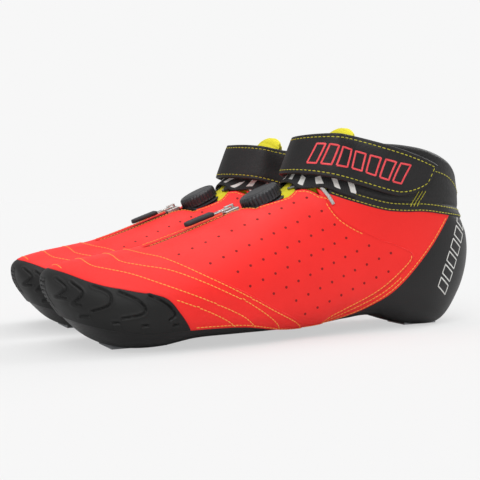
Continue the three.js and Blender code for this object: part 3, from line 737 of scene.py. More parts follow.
class Finish:
    """Builds one material."""

    def __init__(self, name):
        self.material = bpy.data.materials.new(name)
        self.material.use_nodes = True
        self.tree = self.material.node_tree
        self.shader = next(n for n in self.tree.nodes if n.type == "BSDF_PRINCIPLED")

    def node(self, kind, settings, *values, out=0, **named):
        node = self.tree.nodes.new(kind)
        for key, value in (settings or {}).items():
            setattr(node, key, value)
        for k, value in enumerate(values):
            self._feed(node.inputs[k], value)
        for key, value in named.items():
            self._feed(node.inputs[key.replace("_", " ")], value)
        return Wire(self, node.outputs[out])

    def _feed(self, socket, value):
        if isinstance(value, Wire):
            self.tree.links.new(value.socket, socket)
        elif value is not None:
            if hasattr(socket.default_value, "__len__") and len(socket.default_value) == 4 and len(value) == 3:
                value = (*value, 1)
            socket.default_value = value

    def place(self):
        return self.node("ShaderNodeTexCoord", None, out="Object")

    def attribute(self, name):
        return self.node("ShaderNodeAttribute", {"attribute_name": name}, out="Fac")

    def axes(self):
        """The place's x, y and z, each as a value."""
        split = self.node("ShaderNodeSeparateXYZ", None, self.place()).socket.node
        return [Wire(self, output) for output in split.outputs]

    def noise(self, scale, detail=3.0, roughness=0.5):
        return self.node("ShaderNodeTexNoise", None, Vector=self.place(), Scale=scale, Detail=detail,
                         Roughness=roughness)

    def cells(self, scale):
        return self.node("ShaderNodeTexVoronoi", None, Vector=self.place(), Scale=scale, out="Distance")

    def mix(self, share, a, b):
        """A colour between a at 0 and b at 1."""
        node = self.tree.nodes.new("ShaderNodeMix")
        node.data_type = "RGBA"
        self._feed(node.inputs[0], share)
        for k, value in ((6, a), (7, b)):
            self._feed(node.inputs[k], value)
        return Wire(self, node.outputs[2])

    def bump(self, height, distance, strength):
        return self.node("ShaderNodeBump", None, Height=height, Distance=distance, Strength=strength)

    def done(self, **sockets):
        """Feeds the shader's sockets and gives the material."""
        for key, value in sockets.items():
            self._feed(self.shader.inputs[key.replace("_", " ")], value)
        return self.material


def linear(r, g, b):
    """An sRGB colour of 0 to 255 as linear values."""
    return tuple(((c / 255 + 0.055) / 1.055) ** 2.4 if c > 10 else c / 255 / 12.92 for c in (r, g, b))


def red_leather():
    f = Finish("red synthetic leather")
    colors = bpy.context.scene.skate_colors
    tone = f.noise(35, 4).ramp(0.35, 0.65)
    cloud = f.noise(9, 2).ramp(0.3, 0.7)
    grain = f.cells(900)
    # painted shade: the red turns to the deep red within 1.6 mm of a panel's border, where the panels meet
    print_wear_and_edge_tone = f.attribute("edge").ramp(0.0, 1.6)
    base = tuple(colors.red)
    deep = tuple(c * k for c, k in zip(base, (0.86, 0.6, 0.6)))
    pale = tuple(min(c * k + 0.006, 1) for c, k in zip(base, (1.0, 1.35, 1.3)))
    color = f.mix(tone * 0.45, base, deep)
    color = f.mix(cloud * 0.4, color, pale)
    color = f.mix(print_wear_and_edge_tone, deep, color)
    rough = 0.42 + tone * 0.12 + grain * 0.1
    height = grain * 0.6 + f.noise(420, 2) * 0.5
    return f.done(Base_Color=color, Roughness=rough, Normal=f.bump(height, 0.00012, 0.45),
                  Specular_IOR_Level=0.42)


def carbon():
    f = Finish("black carbon shell")
    x, _, z = f.axes()
    weft = ((x + z) * 1900.0).sine()
    warp = ((x - z) * 1900.0).sine()
    weave = (weft * warp).ramp(-1, 1)
    tone = f.noise(24, 4).ramp(0.35, 0.7)
    # the shell turns lighter grey within 1.2 mm of its border
    print_wear_and_edge_tone = f.attribute("edge").ramp(0.0, 1.2, 1.0, 0.0)
    color = f.mix(weave * 0.3 + tone * 0.35, linear(20, 19, 20), linear(33, 32, 32))
    color = f.mix(print_wear_and_edge_tone * 0.4, color, linear(58, 56, 56))
    rough = 0.36 + tone * 0.12 + weave * 0.06
    return f.done(Base_Color=color, Roughness=rough, Normal=f.bump(weave + f.noise(300) * 0.8, 0.00006, 0.35),
                  Specular_IOR_Level=0.35, Coat_Weight=0.1, Coat_Roughness=0.3)


def toe_rubber():
    f = Finish("toe rubber")
    tone = f.noise(60, 4).ramp(0.3, 0.7)
    pebble = f.cells(1400)
    # painted shade: the carved grooves, notches and tip stripes are darkened towards near black
    groove = f.attribute("groove").ramp(0.1, 0.75)
    color = f.mix(tone * 0.6, linear(17, 17, 17), linear(28, 28, 27))
    color = f.mix(groove, linear(6, 6, 6), color)
    rough = 0.5 + tone * 0.14
    return f.done(Base_Color=color, Roughness=rough, Normal=f.bump(pebble, 0.00008, 0.4), Specular_IOR_Level=0.35)


def collar_leather():
    f = Finish("black collar leather")
    grain = f.cells(520)
    fine = f.noise(900, 2)
    tone = f.noise(28, 3).ramp(0.3, 0.7)
    color = f.mix(tone, linear(14, 13, 14), linear(24, 23, 23))
    rough = 0.44 + tone * 0.1 + grain * 0.12
    return f.done(Base_Color=color, Roughness=rough, Normal=f.bump(grain + fine * 0.5, 0.00025, 0.45),
                  Specular_IOR_Level=0.5)


def strap_leather():
    f = Finish("black strap leather")
    grain = f.cells(760)
    tone = f.noise(40, 3).ramp(0.3, 0.7)
    color = f.mix(tone, linear(17, 16, 17), linear(28, 26, 27))
    rough = 0.5 + tone * 0.1
    return f.done(Base_Color=color, Roughness=rough,
                  Normal=f.bump(grain + f.noise(1300, 2) * 0.6, 0.0002, 0.45), Specular_IOR_Level=0.45)


def woven(name, light, dark, threads, depth=0.00018, sheen=0.0):
    """A plain weave from crossed waves over the piece."""
    f = Finish(name)
    x, y, z = f.axes()
    a = (x * threads + z * (threads * 0.35)).sine()
    b = (y * threads + z * threads).sine()
    weave = (a * b).ramp(-1, 1)
    tone = f.noise(45, 3).ramp(0.3, 0.7)
    fuzz = f.noise(1800, 2)
    color = f.mix(weave * 0.6 + tone * 0.3, linear(*dark), linear(*light))
    rough = 0.72 + fuzz * 0.2
    f.shader.inputs["Sheen Weight"].default_value = sheen
    return f.done(Base_Color=color, Roughness=rough, Normal=f.bump(weave + fuzz * 0.5, depth, 0.6))


def elastic():
    f = Finish("woven elastic")
    along, across = f.attribute("along"), f.attribute("across")
    rib = (along * 5.2).sine().ramp(-1, 1)
    bar = ((along + across * 0.55) * (2 * math.pi / 11)).sine().ramp(0.35, 0.45)
    inside = across.ramp(2.4, 2.6) * across.ramp(8.6, 8.8, 1.0, 0.0)
    mark = bar * inside
    thread = f.noise(1500, 2)
    color = f.mix(rib * 0.5 + thread * 0.3, linear(18, 18, 19), linear(44, 43, 44))
    color = f.mix(mark, color, linear(224, 222, 218))
    return f.done(Base_Color=color, Roughness=0.7 + thread * 0.2, Normal=f.bump(rib + thread * 0.6, 0.0002, 0.6))


def thread(name, color, dark):
    f = Finish(name)
    twist = f.noise(2600, 2).ramp(0.3, 0.7)
    return f.done(Base_Color=f.mix(twist, linear(*dark), linear(*color)), Roughness=0.5 + twist * 0.2,
                  Normal=f.bump(twist, 0.0001, 0.5))


def perforation():
    # painted shade: the dark red of each disc stands in for the shade inside a hole
    f = Finish("perforation")
    tone = f.noise(900, 2).ramp(0.3, 0.7)
    return f.done(Base_Color=f.mix(tone, linear(122, 8, 8), linear(150, 14, 12)), Roughness=0.8 + tone * 0.1)


def plastic(name, low, high, rough=0.42, scale=900):
    f = Finish(name)
    tone = f.noise(70, 3).ramp(0.3, 0.7)
    spark = f.noise(scale, 2)
    return f.done(Base_Color=f.mix(tone, linear(*low), linear(*high)), Roughness=rough + spark * 0.12,
                  Normal=f.bump(spark, 0.00005, 0.35), Specular_IOR_Level=0.5)


def metal(name, low, high, rough, scratch=0.1):
    f = Finish(name)
    brush = f.noise(500, 4).ramp(0.3, 0.7)
    smudge = f.noise(60, 3).ramp(0.3, 0.7)
    return f.done(Base_Color=f.mix(smudge, linear(*low), linear(*high)), Metallic=1.0,
                  Roughness=rough + smudge * 0.08 + brush * scratch, Normal=f.bump(brush, 0.00002, 0.3))


def piping():
    f = Finish("silver piping")
    weave = f.noise(1600, 2).ramp(0.3, 0.7)
    return f.done(Base_Color=f.mix(weave, linear(160, 160, 158), linear(212, 210, 206)), Roughness=0.4 + weave * 0.2,
                  Normal=f.bump(weave, 0.0001, 0.4))


def printed(name, low, high):
    f = Finish(name)
    print_wear_and_edge_tone = f.noise(160, 5, 0.7).ramp(0.35, 0.6)
    return f.done(Base_Color=f.mix(print_wear_and_edge_tone, linear(*low), linear(*high)), Roughness=0.45 + print_wear_and_edge_tone * 0.12,
                  Normal=f.bump(f.noise(1100, 2), 0.00006, 0.4))


# Each finish's maker and what it is given: name, colours, and the maker's own numbers.
FINISHES = {
    "red": (red_leather,), "carbon": (carbon,), "toe_rubber": (toe_rubber,), "collar": (collar_leather,),
    "strap": (strap_leather,), "elastic": (elastic,), "perforation": (perforation,), "piping": (piping,),
    "tongue": (woven, "yellow tongue fabric", (240, 232, 48), (214, 200, 22), 3800),
    "lining": (woven, "black lining", (44, 43, 46), (20, 20, 22), 3400, 0.00018, 0.2),
    "insole": (woven, "insole cover", (40, 40, 44), (19, 19, 22), 2600),
    "loop": (woven, "loop tape", (36, 36, 38), (12, 12, 13), 4200, 0.0004, 0.3),
    "hook": (woven, "hook tape", (34, 34, 35), (10, 10, 11), 5200, 0.0005),
    "zip_fabric": (woven, "zip tape", (34, 33, 34), (14, 14, 15), 4800),
    "orange_thread": (thread, "orange thread", (255, 190, 84), (246, 150, 58)),
    "yellow_thread": (thread, "yellow thread", (212, 206, 62), (160, 152, 36)),
    "dial": (plastic, "dial plastic", (34, 35, 38), (52, 52, 55), 0.3),
    "guide": (plastic, "guide plastic", (18, 18, 19), (30, 30, 31), 0.38),
    "grip": (plastic, "grip rubber", (38, 37, 40), (56, 54, 58), 0.5, 1400),
    "slider": (metal, "die cast slider", (176, 174, 170), (224, 222, 218), 0.2, 0.06),
    "steel": (metal, "steel", (128, 130, 134), (168, 170, 174), 0.3),
    "alloy": (metal, "bead blasted alloy", (150, 152, 156), (188, 190, 193), 0.42, 0.2),
    "coral": (printed, "coral print", (232, 62, 70), (252, 88, 94)),
    "white": (printed, "white print", (196, 196, 192), (226, 226, 222)),
}
_MADE = {}


def material_of(finish):
    """A finish's material, made once."""
    if finish not in _MADE:
        maker, *values = FINISHES[finish]
        _MADE[finish] = maker(*values)
    return _MADE[finish]


_WEAVES = {}


def weave(kind="boot"):
    """The fine mesh of the whole form, or of its cuff for the collar."""
    if kind not in _WEAVES:
        _WEAVES[kind] = Weave() if kind == "boot" else Weave(11, LAST_RIB, 1.5, 176)
    return _WEAVES[kind]


# ---------------------------------------------------------------- the shell and the upper's panels
# Distances from a panel's border that get points, and the heights of the outer faces over the form.
EDGE_STEPS = (0.12, 0.35, 0.7)
SHELL_OUT, HEEL_OUT, QUARTER_OUT, VAMP_OUT, BUMPER_OUT = 0.0, 0.35, 0.75, 1.15, 0.9


def flat_top(out, radius=0.6):
    return lambda p, n, depth: out - rolled(depth, radius)


def flat_under(out):
    return lambda p, n, depth: np.full(len(p), out)


def negative(rule, by=0.0):
    return lambda p, n: by - rule(p, n)


def moved(rule, by):
    """A rule whose border lies further out by a distance."""
    return lambda p, n: rule(p, n) + by


_PANELS = {}


def panel(key, *args, **kwargs):
    """A panel's mesh, worked out once for both boots."""
    if key not in _PANELS:
        _PANELS[key] = panel_mesh(*args, **kwargs)
    return _PANELS[key]


def make_panel(key, name, side, finish, slot, nodes, *args, **kwargs):
    points, faces, depth = panel(key, *args, **kwargs)
    # edge is each point's distance from the panel's border; the red finish darkens near it as painted shade
    piece = make_mesh(f"{side}_{name}", points, faces, side, {"edge": depth})
    return finish_piece(piece, side, "boot", finish, nodes)


GROOVES = [
    [(-275.8, 42.5), (-272.6, 38), (-275.8, 33.5), (-272.5, 32.6)],
    [(-270, 41), (-265.6, 35.8), (-269.2, 29.8), (-266.3, 28.6)],
    [(-260, 38.8), (-254.4, 36.6), (-251.6, 33.4), (-253.4, 28.6), (-261, 25.6)],
    [(-247, 35.6), (-239, 31.6), (-234.2, 26.8), (-236.2, 23), (-246.5, 21.2)],
    [(-231.5, 33.2), (-224.6, 29.8), (-219.4, 25.4), (-218, 21.6), (-221, 19.4)],
]
NOTCHES = [(-264, 22.6), (-249.5, 18.8), (-234.5, 16.8), (-217.5, 16.2)]


def groove_depth(p, n):
    """Distance from the nearest groove, notch or tip stripe of the bumper."""
    flat = p[:, [0, 2]]
    best = np.full(len(p), 99.0)
    for line in GROOVES:
        dense = smooth_line(line, 24)
        gap = np.full(len(p), 99.0)
        for a, b in zip(dense, dense[1:]):
            d = b - a
            t = np.clip(((flat - a) @ d) / (d @ d), 0, 1)
            away = flat - (a + t[:, None] * d)
            gap = np.minimum(gap, np.hypot(away[:, 0], away[:, 1]))
        best = np.minimum(best, gap)
    for x, z in NOTCHES:
        best = np.minimum(best, np.maximum(np.abs(flat[:, 0] - x) - 1.6, np.abs(flat[:, 1] - z) - 0.5) + 0.4)
    stripe = np.maximum(np.abs(p[:, 1] - 8) - 5, np.abs(((p[:, 2] - 16) % 2.6) - 1.3) - 0.25)
    tip = np.where((p[:, 0] < -274) & (p[:, 2] < 43), stripe + 0.4, 99.0)
    return np.maximum(np.minimum(best, tip), 0)


class BootPiece(bpy.types.Operator):
    """Shared base of the boots' operators"""

    bl_idname = "skate.piece"
    bl_label = "Piece"
    bl_options = {"REGISTER", "UNDO"}

    def execute(self, context):
        for side in SIDES:
            self.build(context.scene, side)
        return {"FINISHED"}

    def build(self, scene, side):
        raise NotImplementedError


class SKATE_OT_shell(BootPiece):
    """Moulded shell under the foot and round the heel"""

    bl_idname = "skate.shell"
    bl_label = "Shell"

    def build(self, scene, side):
        rules = [negative(shell_edge, 0.8), negative(collar_edge, 0.8)]
        make_panel("shell", "shell_moulding", side, "carbon", "carbon_shell", ["shell"], weave(), rules,
                   flat_top(SHELL_OUT), flat_under(-1.6), EDGE_STEPS)


class SKATE_OT_bumper(BootPiece):
    """Grooved rubber toe bumper"""

    bl_idname = "skate.bumper"
    bl_label = "Toe bumper"

    def build(self, scene, side):
        rules = [negative(bumper_edge), shell_edge]
        top = lambda p, n, depth: (BUMPER_OUT - rolled(depth, 0.9)
                                   - 0.75 * (1 - np.clip(groove_depth(p, n) / 0.75, 0, 1)) ** 0.8
                                   + 0.3 * np.exp(-((groove_depth(p, n) - 1.25) / 0.45) ** 2))
        points, faces, depth = panel("bumper", weave(), rules, top, flat_under(-1.0), (0.15, 0.5, 1.0),
                                     marks=[(groove_depth, (0.12, 0.45, 0.8, 1.25, 1.8))])
        # the groove distance goes to the toe rubber's finish, which darkens the grooves as painted shade
        groove = groove_depth(points, None)
        piece = make_mesh(f"{side}_toe_rubber", points, faces, side, {"edge": depth, "groove": groove}, 50)
        finish_piece(piece, side, "boot", "toe_rubber", ["toe_bumper"])


class SKATE_OT_vamp(BootPiece):
    """Red panel over the toes"""

    bl_idname = "skate.vamp"
    bl_label = "Vamp"

    def build(self, scene, side):
        rules = [moved(bumper_edge, 2.0), negative(vamp_edge), shell_edge]
        make_panel("vamp", "vamp_panel", side, "red", "red_microfibre", ["vamp"], weave(), rules,
                   flat_top(VAMP_OUT), flat_under(-0.8), EDGE_STEPS)


def quarter_top(p, n, depth):
    """Outer face of the quarters, thinner towards the zip."""
    thin = np.clip(1 - throat_room(p, n) / 5, 0, 1) * (p[:, 0] < -150)
    return QUARTER_OUT - 0.9 * thin * thin - rolled(depth, 0.6)


def on_side(sign):
    """A rule that is above 0 on the outer side for 1, and on the inner side for -1."""
    return lambda p, n: -sign * p[:, 1]


class SKATE_OT_quarters(BootPiece):
    """Perforated red panels on both sides of the throat"""

    bl_idname = "skate.quarters"
    bl_label = "Quarters"

    def build(self, scene, side):
        for label, sign in (("outer", 1), ("inner", -1)):
            rules = [on_side(sign), moved(vamp_edge, 2.5), negative(quarter_edge), shell_edge, throat_room,
                     negative(collar_edge, 1.5)]
            make_panel(f"quarter_{label}", f"quarter_panel_{label}", side, "red", "red_microfibre",
                       [f"quarter_{label}"], weave(), rules, quarter_top, flat_under(-1.4), EDGE_STEPS)


class SKATE_OT_heel_panels(BootPiece):
    """Plain red panels behind the quarters"""

    bl_idname = "skate.heel_panels"
    bl_label = "Heel panels"

    def build(self, scene, side):
        for label, sign in (("outer", 1), ("inner", -1)):
            rules = [on_side(sign), moved(quarter_edge, 2.5), shell_edge, negative(collar_edge, 1.5)]
            make_panel(f"heel_{label}", f"heel_panel_{label}_cover", side, "red", "red_microfibre",
                       [f"heel_panel_{label}"], weave(), rules, flat_top(HEEL_OUT), flat_under(-1.4), EDGE_STEPS)


# ---------------------------------------------------------------- collar, tongue and lining
def collar_top(p, n, depth):
    back = np.clip((p[:, 0] + 62) / 40, 0, 1)
    back = back * back * (3 - 2 * back)
    low = collar_edge(p, n)
    seam = np.exp(-((low - 7.6) / 0.7) ** 2) * 0.5
    puff = np.clip((low - 7.6) / 9, 0, 1) ** 0.6 * (0.5 + 1.6 * back)
    return 1.3 + puff - seam - rolled(depth, 2.8)


class SKATE_OT_collar(BootPiece):
    """Padded collar round the ankle"""

    bl_idname = "skate.collar"
    bl_label = "Collar"

    def build(self, scene, side):
        rules = [collar_edge, negative(rim_edge), negative(front_edge)]
        points, faces, depth = panel("collar", weave("cuff"), rules, collar_top,
                                     lambda p, n, depth: -4.3 + rolled(depth, 1.9), (0.2, 0.6, 1.2, 2.0, 2.8))
        piece = make_mesh(f"{side}_collar_padding", points, faces, side, {"edge": depth}, 60)
        finish_piece(piece, side, "boot", "collar", ["collar"])


# Side view of the tongue's middle, from under the dial to its free end, with the rib whose section it follows.
TONGUE_LINE = [
    (-153, 78.8, 8.4), (-146, 81.6, 9.8), (-139, 84.4, 10.5), (-132, 87.9, 11.4), (-126.5, 91.6, 12.2),
    (-122.5, 95.3, 12.9), (-118.5, 99.2, 13.8), (-114.8, 103.2, 14.7), (-110.5, 107.8, 15.6), (-105, 113.2, 16.5),
    (-98.5, 119.5, 17.5), (-93.5, 125, 18), (-88.5, 129.2, 18), (-83.5, 130.8, 18), (-79, 128.9, 18),
    (-76, 124.3, 18), (-75, 118.8, 18),
]
TONGUE_HALF = [14, 16, 16.5, 16.5, 16.5, 18.5, 22, 25, 26, 25, 22.5, 20, 18, 16.5, 15, 12, 7]


class SKATE_OT_tongue(BootPiece):
    """Padded tongue under the dial and the strap"""

    bl_idname = "skate.tongue"
    bl_label = "Tongue"

    def build(self, scene, side):
        rows, columns = 110, 49
        at = np.linspace(0, len(TONGUE_LINE) - 1, rows)
        line = through(at, np.array(TONGUE_LINE))
        half = through(at, np.array(TONGUE_HALF, float))
        ahead = np.gradient(line[:, :2], axis=0)
        ahead /= np.linalg.norm(ahead, axis=1, keepdims=True)
        up = np.stack([-ahead[:, 1], ahead[:, 0]], -1)
        share = np.linspace(-1, 1, columns)
        w = share[None, :] * half[:, None]
        angles = np.linspace(0, 1.35, 60)
        drop = np.zeros_like(w)
        for k in range(rows):
            section = form_point(np.full(60, line[k, 2]), angles)
            fall = (section[0, [0, 2]] - section[:, [0, 2]]) @ up[k]
            worn_drop = np.interp(np.abs(w[k]), np.abs(section[:, 1] - section[0, 1]), fall)
            free = np.clip((line[k, 2] - 15.6) / 1.4, 0, 1)
            drop[k] = worn_drop * (1 - free) + 0.016 * w[k] ** 2 * free
        grid = np.stack([line[:, 0:1] - up[:, 0:1] * drop, -w, line[:, 1:2] - up[:, 1:2] * drop], -1)
        travel = np.r_[0, np.cumsum(np.linalg.norm(np.diff(line[:, :2], axis=0), axis=1))]
        edge = np.minimum(half[:, None] * (1 - np.abs(share[None, :])),
                          np.minimum(travel, travel[-1] - travel)[:, None] + 0 * w)
        swell = np.exp(-((travel[:, None] - 24) / 4.5) ** 2) * (1 - np.exp(-((w / 7) ** 2)))
        puff = np.clip(edge / 9, 0, 1) ** 0.5 * (2.0 * np.clip((travel[:, None] - 12) / 8, 0, 1) + 2.4 * swell)
        ribs = 0.5 * np.exp(-(((travel[:, None] - 30) % 9 - 4.5) / 0.8) ** 2) * (travel[:, None] > 52)
        points, faces = slab(grid, -grid_normals(grid), -4.4, -2.4 + puff - ribs, edge, 1.5)
        piece = fix_outward(make_mesh(f"{side}_tongue_padding", points, faces, side, sharp=0))
        finish_piece(piece, side, "boot", "tongue", ["tongue"])


class SKATE_OT_lining(BootPiece):
    """Lining and insole inside the boot"""

    bl_idname = "skate.lining"
    bl_label = "Lining and insole"

    def build(self, scene, side):
        rules = [negative(collar_edge, -0.6), moved(throat_room, -9.0), lambda p, n: p[:, 0] + 276.5]
        make_panel("liner", "lining", side, "lining", "lining_fabric", ["liner"], weave(), rules,
                   lambda p, n, depth: np.full(len(p), -2.9), lambda p, n, depth: np.full(len(p), -4.6), ())
        x = np.linspace(-266, -8, 110)
        top = np.interp(x, [-266, -255, -239, -221, -200, -174, -147, -120, -95, -72, -46, -20, -8],
                        [22, 16.5, 11.5, 11, 14, 15.4, 16, 17, 18.5, 17, 12, 10.5, 12])
        outer = side_point(x, top, 1, -5.6)[:, 1]
        inner = side_point(x, top, -1, -5.6)[:, 1]
        taper = np.sqrt(np.clip((x + 266) / 14, 0, 1)) * np.sqrt(np.clip((-8 - x) / 9, 0, 1))
        middle, half = (outer + inner) / 2, (inner - outer) / 2 * np.maximum(taper, 0.12) - 0.8
        share = np.linspace(-1, 1, 33)
        y = middle[:, None] + share[None, :] * half[:, None]
        dish = (share[None, :] ** 2) * 1.6
        grid = np.stack([np.repeat(x[:, None], 33, 1), y, top[:, None] + dish], -1)
        edge = np.minimum(half[:, None] * (1 - np.abs(share)), np.minimum(x + 266, -8 - x)[:, None])
        points, faces = slab(grid, grid_normals(grid), -2.6, 0.0, np.maximum(edge, 0), 1.2)
        piece = fix_outward(make_mesh(f"{side}_insole_pad", points, faces, side, sharp=0))
        finish_piece(piece, side, "boot", "insole", ["insole"])


# ---------------------------------------------------------------- strap and elastic
STRAP_OFF, SEWN_OFF, STRAP_THICK = 6.3, 4.4, 2.0
FOLD_SEWN, FOLD_FLAP, STRAP_CUT = 2.7, 7.3, 5.0
ROWS = 25
LAST_COLUMN = 12.0
BORDER_INSET, STITCH_SINK, STRAP_PITCH = 2.5, 0.2, 3.0


def ruled(low, high):
    t = np.linspace(0, 1, ROWS)[:, None]
    return np.array(low, float) * (1 - t) + np.array(high, float) * t


def worn(low, high, side, out):
    t = np.linspace(0, 1, ROWS)
    return side_point(low[0] + (high[0] - low[0]) * t, low[1] + (high[1] - low[1]) * t, side, np.full(ROWS, out))


def strap_columns():
    if "strap" not in _PANELS:
        _PANELS["strap"] = np.array([
            worn([-62, 84.5], [-54, 112], -1, SEWN_OFF), worn([-76, 88.5], [-71, 116], -1, SEWN_OFF),
            worn([-90, 93], [-88, 119.5], -1, SEWN_OFF + 0.6), ruled([-108, 31, 98.5], [-102, 30, 123]),
            ruled([-121.5, 18, 101], [-112, 17, 125]), ruled([-127.5, 0, 101.5], [-117.5, 0, 125.5]),
            ruled([-121.5, -18, 101], [-112, -17, 126]), ruled([-108, -31.5, 98], [-102.5, -31, 125.5]),
            worn([-90, 92.3], [-87.5, 122], 1, STRAP_OFF), worn([-74, 87], [-71, 117.5], 1, STRAP_OFF),
            worn([-62, 84.8], [-55.5, 112.5], 1, STRAP_OFF), worn([-50, 88.5], [-43, 107.5], 1, STRAP_OFF),
            worn([-43, 93.5], [-37.5, 104.5], 1, STRAP_OFF),
        ])
    return _PANELS["strap"]


def strap_grid(t, v):
    """Points and outward normals of the strap's outer face. t counts columns, v is 0 low and 1 high."""
    columns = strap_columns()
    t, v = np.broadcast_arrays(np.asarray(t, float), np.asarray(v, float))
    rows = v * (ROWS - 1)

    def at(t, rows):
        reach = 0.4 * np.clip(np.minimum(t, LAST_COLUMN - t), 0, 1)
        across = sum(share * through(np.clip(t + k * reach, 0, LAST_COLUMN), columns)
                     for k, share in ((-1, 0.25), (0, 0.5), (1, 0.25)))
        k = np.clip(np.floor(rows).astype(int), 0, ROWS - 2)
        f = (rows - k)[..., None]
        take = lambda i: np.take_along_axis(across, i[..., None, None], axis=-2)[..., 0, :]
        return take(k) * (1 - f) + take(k + 1) * f

    p = at(t, rows)
    along = at(np.minimum(t + 0.03, LAST_COLUMN), rows) - at(np.maximum(t - 0.03, 0), rows)
    up = at(t, np.minimum(rows + 0.5, ROWS - 1)) - at(t, np.maximum(rows - 0.5, 0))
    n = np.cross(along, up)
    return p, n / np.maximum(np.linalg.norm(n, axis=-1, keepdims=True), 1e-9)


def strap_edge(points, ends):
    """Distance of grid points from the strap's border, with or without its two ends."""
    low = np.linalg.norm(points - points[:, :1], axis=2)
    high = np.linalg.norm(points - points[:, -1:], axis=2)
    edge = np.minimum(low, high)
    if ends[0]:
        edge = np.minimum(edge, np.linalg.norm(points - points[:1], axis=2))
    if ends[1]:
        edge = np.minimum(edge, np.linalg.norm(points - points[-1:], axis=2))
    return edge


def strap_piece(name, side, start, end, ends, low=-STRAP_THICK, high=0.0, shrink=0.0, radius=0.8):
    """A length of the strap between two columns, with a crowned face and a sunk line along its border."""
    steps = int((end - start) * 15)
    t = np.linspace(start, end, steps + 1)[:, None]
    share = np.linspace(0, 1, 33)
    share = 0.5 - 0.5 * np.cos(share * math.pi) * (0.35 + 0.65 * np.abs(np.cos(share * math.pi)) ** 0.3)
    v = shrink / 2 + np.clip(share, 0, 1)[None, :] * (1 - shrink)
    points, normals = strap_grid(t, v)
    edge = strap_edge(points, ends)
    crown = np.clip(edge / 6, 0, 1) ** 0.5 * 0.35 - 0.35
    groove = -0.22 * np.exp(-((edge - 2.4) / 0.55) ** 2)
    mesh_points, faces = slab(points, normals, low, high + crown + groove, edge, radius)
    return fix_outward(make_mesh(f"{side}_{name}", mesh_points, faces, side, sharp=50))


def blend_ends(side, first):
    """The two points between which the strap bends, round one of its folds."""
    fold = FOLD_SEWN if first else FOLD_FLAP
    ends = [strap_grid(np.array(fold + d), np.array(0.5))[0] for d in (-0.45, 0.45)]
    return [tuple(placed(p, side)) for p in ends]


def bend(piece, side, first):
    start, end = blend_ends(side, first)
    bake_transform(piece)
    return piece


def strap_width(t):
    return np.linalg.norm(strap_grid(t, 1.0 + 0 * t)[0] - strap_grid(t, 0 * t)[0], axis=-1)


def strap_border(inset, start, end, ends):
    """Rows of stitches at a distance inside the strap's border."""
    t = np.linspace(start, end, 160)
    p0 = strap_grid(t, 0.5 + 0 * t)[0]
    travel = np.r_[0, np.cumsum(np.linalg.norm(np.diff(p0, axis=0), axis=1))]
    lo = np.interp(inset if ends[0] else 0, travel, t)
    hi = np.interp(travel[-1] - (inset if ends[1] else 0), travel, t)
    t = np.linspace(lo, hi, 140)
    inset_v = inset / strap_width(t)
    lines = [(t, inset_v), (t, 1 - inset_v)]
    for at, wanted in ((lo, ends[0]), (hi, ends[1])):
        if wanted:
            k = (inset / strap_width(np.array([at])))[0]
            v = np.linspace(k, 1 - k, 24)
            lines.append((at + 0 * v, v))
    rows = []
    for tt, vv in lines:
        p, n = strap_grid(tt, vv)
        rows += along_line(p - n * STITCH_SINK, n, STRAP_PITCH)
    return rows


def slanted_bar(u, v, width, height, lean):
    """The outline of a slanted bar, as points of a flat pattern."""
    pts = [(u, v), (u + width, v), (u + width + lean, v + height), (u + lean, v + height)]
    out = []
    for i in range(4):
        a, b = np.array(pts[i]), np.array(pts[(i + 1) % 4])
        for t in np.linspace(0, 1, 10, endpoint=False):
            out.append(a + (b - a) * t)
    out.append(out[0])
    return np.array(out)


class SKATE_OT_strap(BootPiece):
    """Ankle strap with its stitching, print and closing patches"""

    bl_idname = "skate.strap"
    bl_label = "Ankle strap"

    def build(self, scene, side):
        first = strap_piece("strap_band", side, 0.0, STRAP_CUT, (True, False))
        finish_piece(first, side, None, "strap", ["strap_anchor"])
        bend(first, side, True)
        second = strap_piece("strap_flap_band", side, STRAP_CUT, LAST_COLUMN, (False, True))
        finish_piece(second, side, None, "strap", ["strap_front", "strap_flap"])
        bend(second, side, False)
        hook = strap_piece("hook_patch_tape", side, 9.0, 11.2, (True, True), -2.35 - 0.8, -2.35, 0.16, 0.3)
        finish_piece(hook, side, "flap", "hook", ["hook_patch"])
        loop = strap_piece("loop_patch_tape", side, 8.9, 11.3, (True, True), -2.75 - 1.6, -2.75 - 0.8, 0.16, 0.3)
        finish_piece(loop, side, "boot", "loop", ["loop_patch"])
        for name, start, end, ends, is_first in (("strap_stitches", 0.0, STRAP_CUT, (True, False), True),
                                                 ("flap_stitches", STRAP_CUT, LAST_COLUMN, (False, True), False)):
            rows = strap_border(BORDER_INSET, start, end, ends)
            piece = repeated(f"{side}_{name}", "stitch", side, rows, STRAP_STITCH, "yellow_thread")
            bend(piece, side, is_first)
        ribbons = []
        t = np.linspace(STRAP_CUT, LAST_COLUMN, 300)
        travel = np.r_[0, np.cumsum(np.linalg.norm(np.diff(strap_grid(t, 0.5 + 0 * t)[0], axis=0), axis=1))]
        start = np.interp(6.05, t, travel)
        for k in range(7):
            bar = slanted_bar(start + k * 9.4, -6.6, 6.4, 12.6, 3.4)
            at = np.interp(bar[:, 0], travel, t)
            p, n = strap_grid(at, 0.52 + bar[:, 1] / strap_width(at))
            ribbons.append(tube(p + n * -0.02, 0.6, 6, n, 0.35))
        points, faces = joined(ribbons)
        motif = fix_outward(make_mesh(f"{side}_strap_print", points, faces, side))
        finish_piece(motif, side, None, "coral")
        bend(motif, side, False)


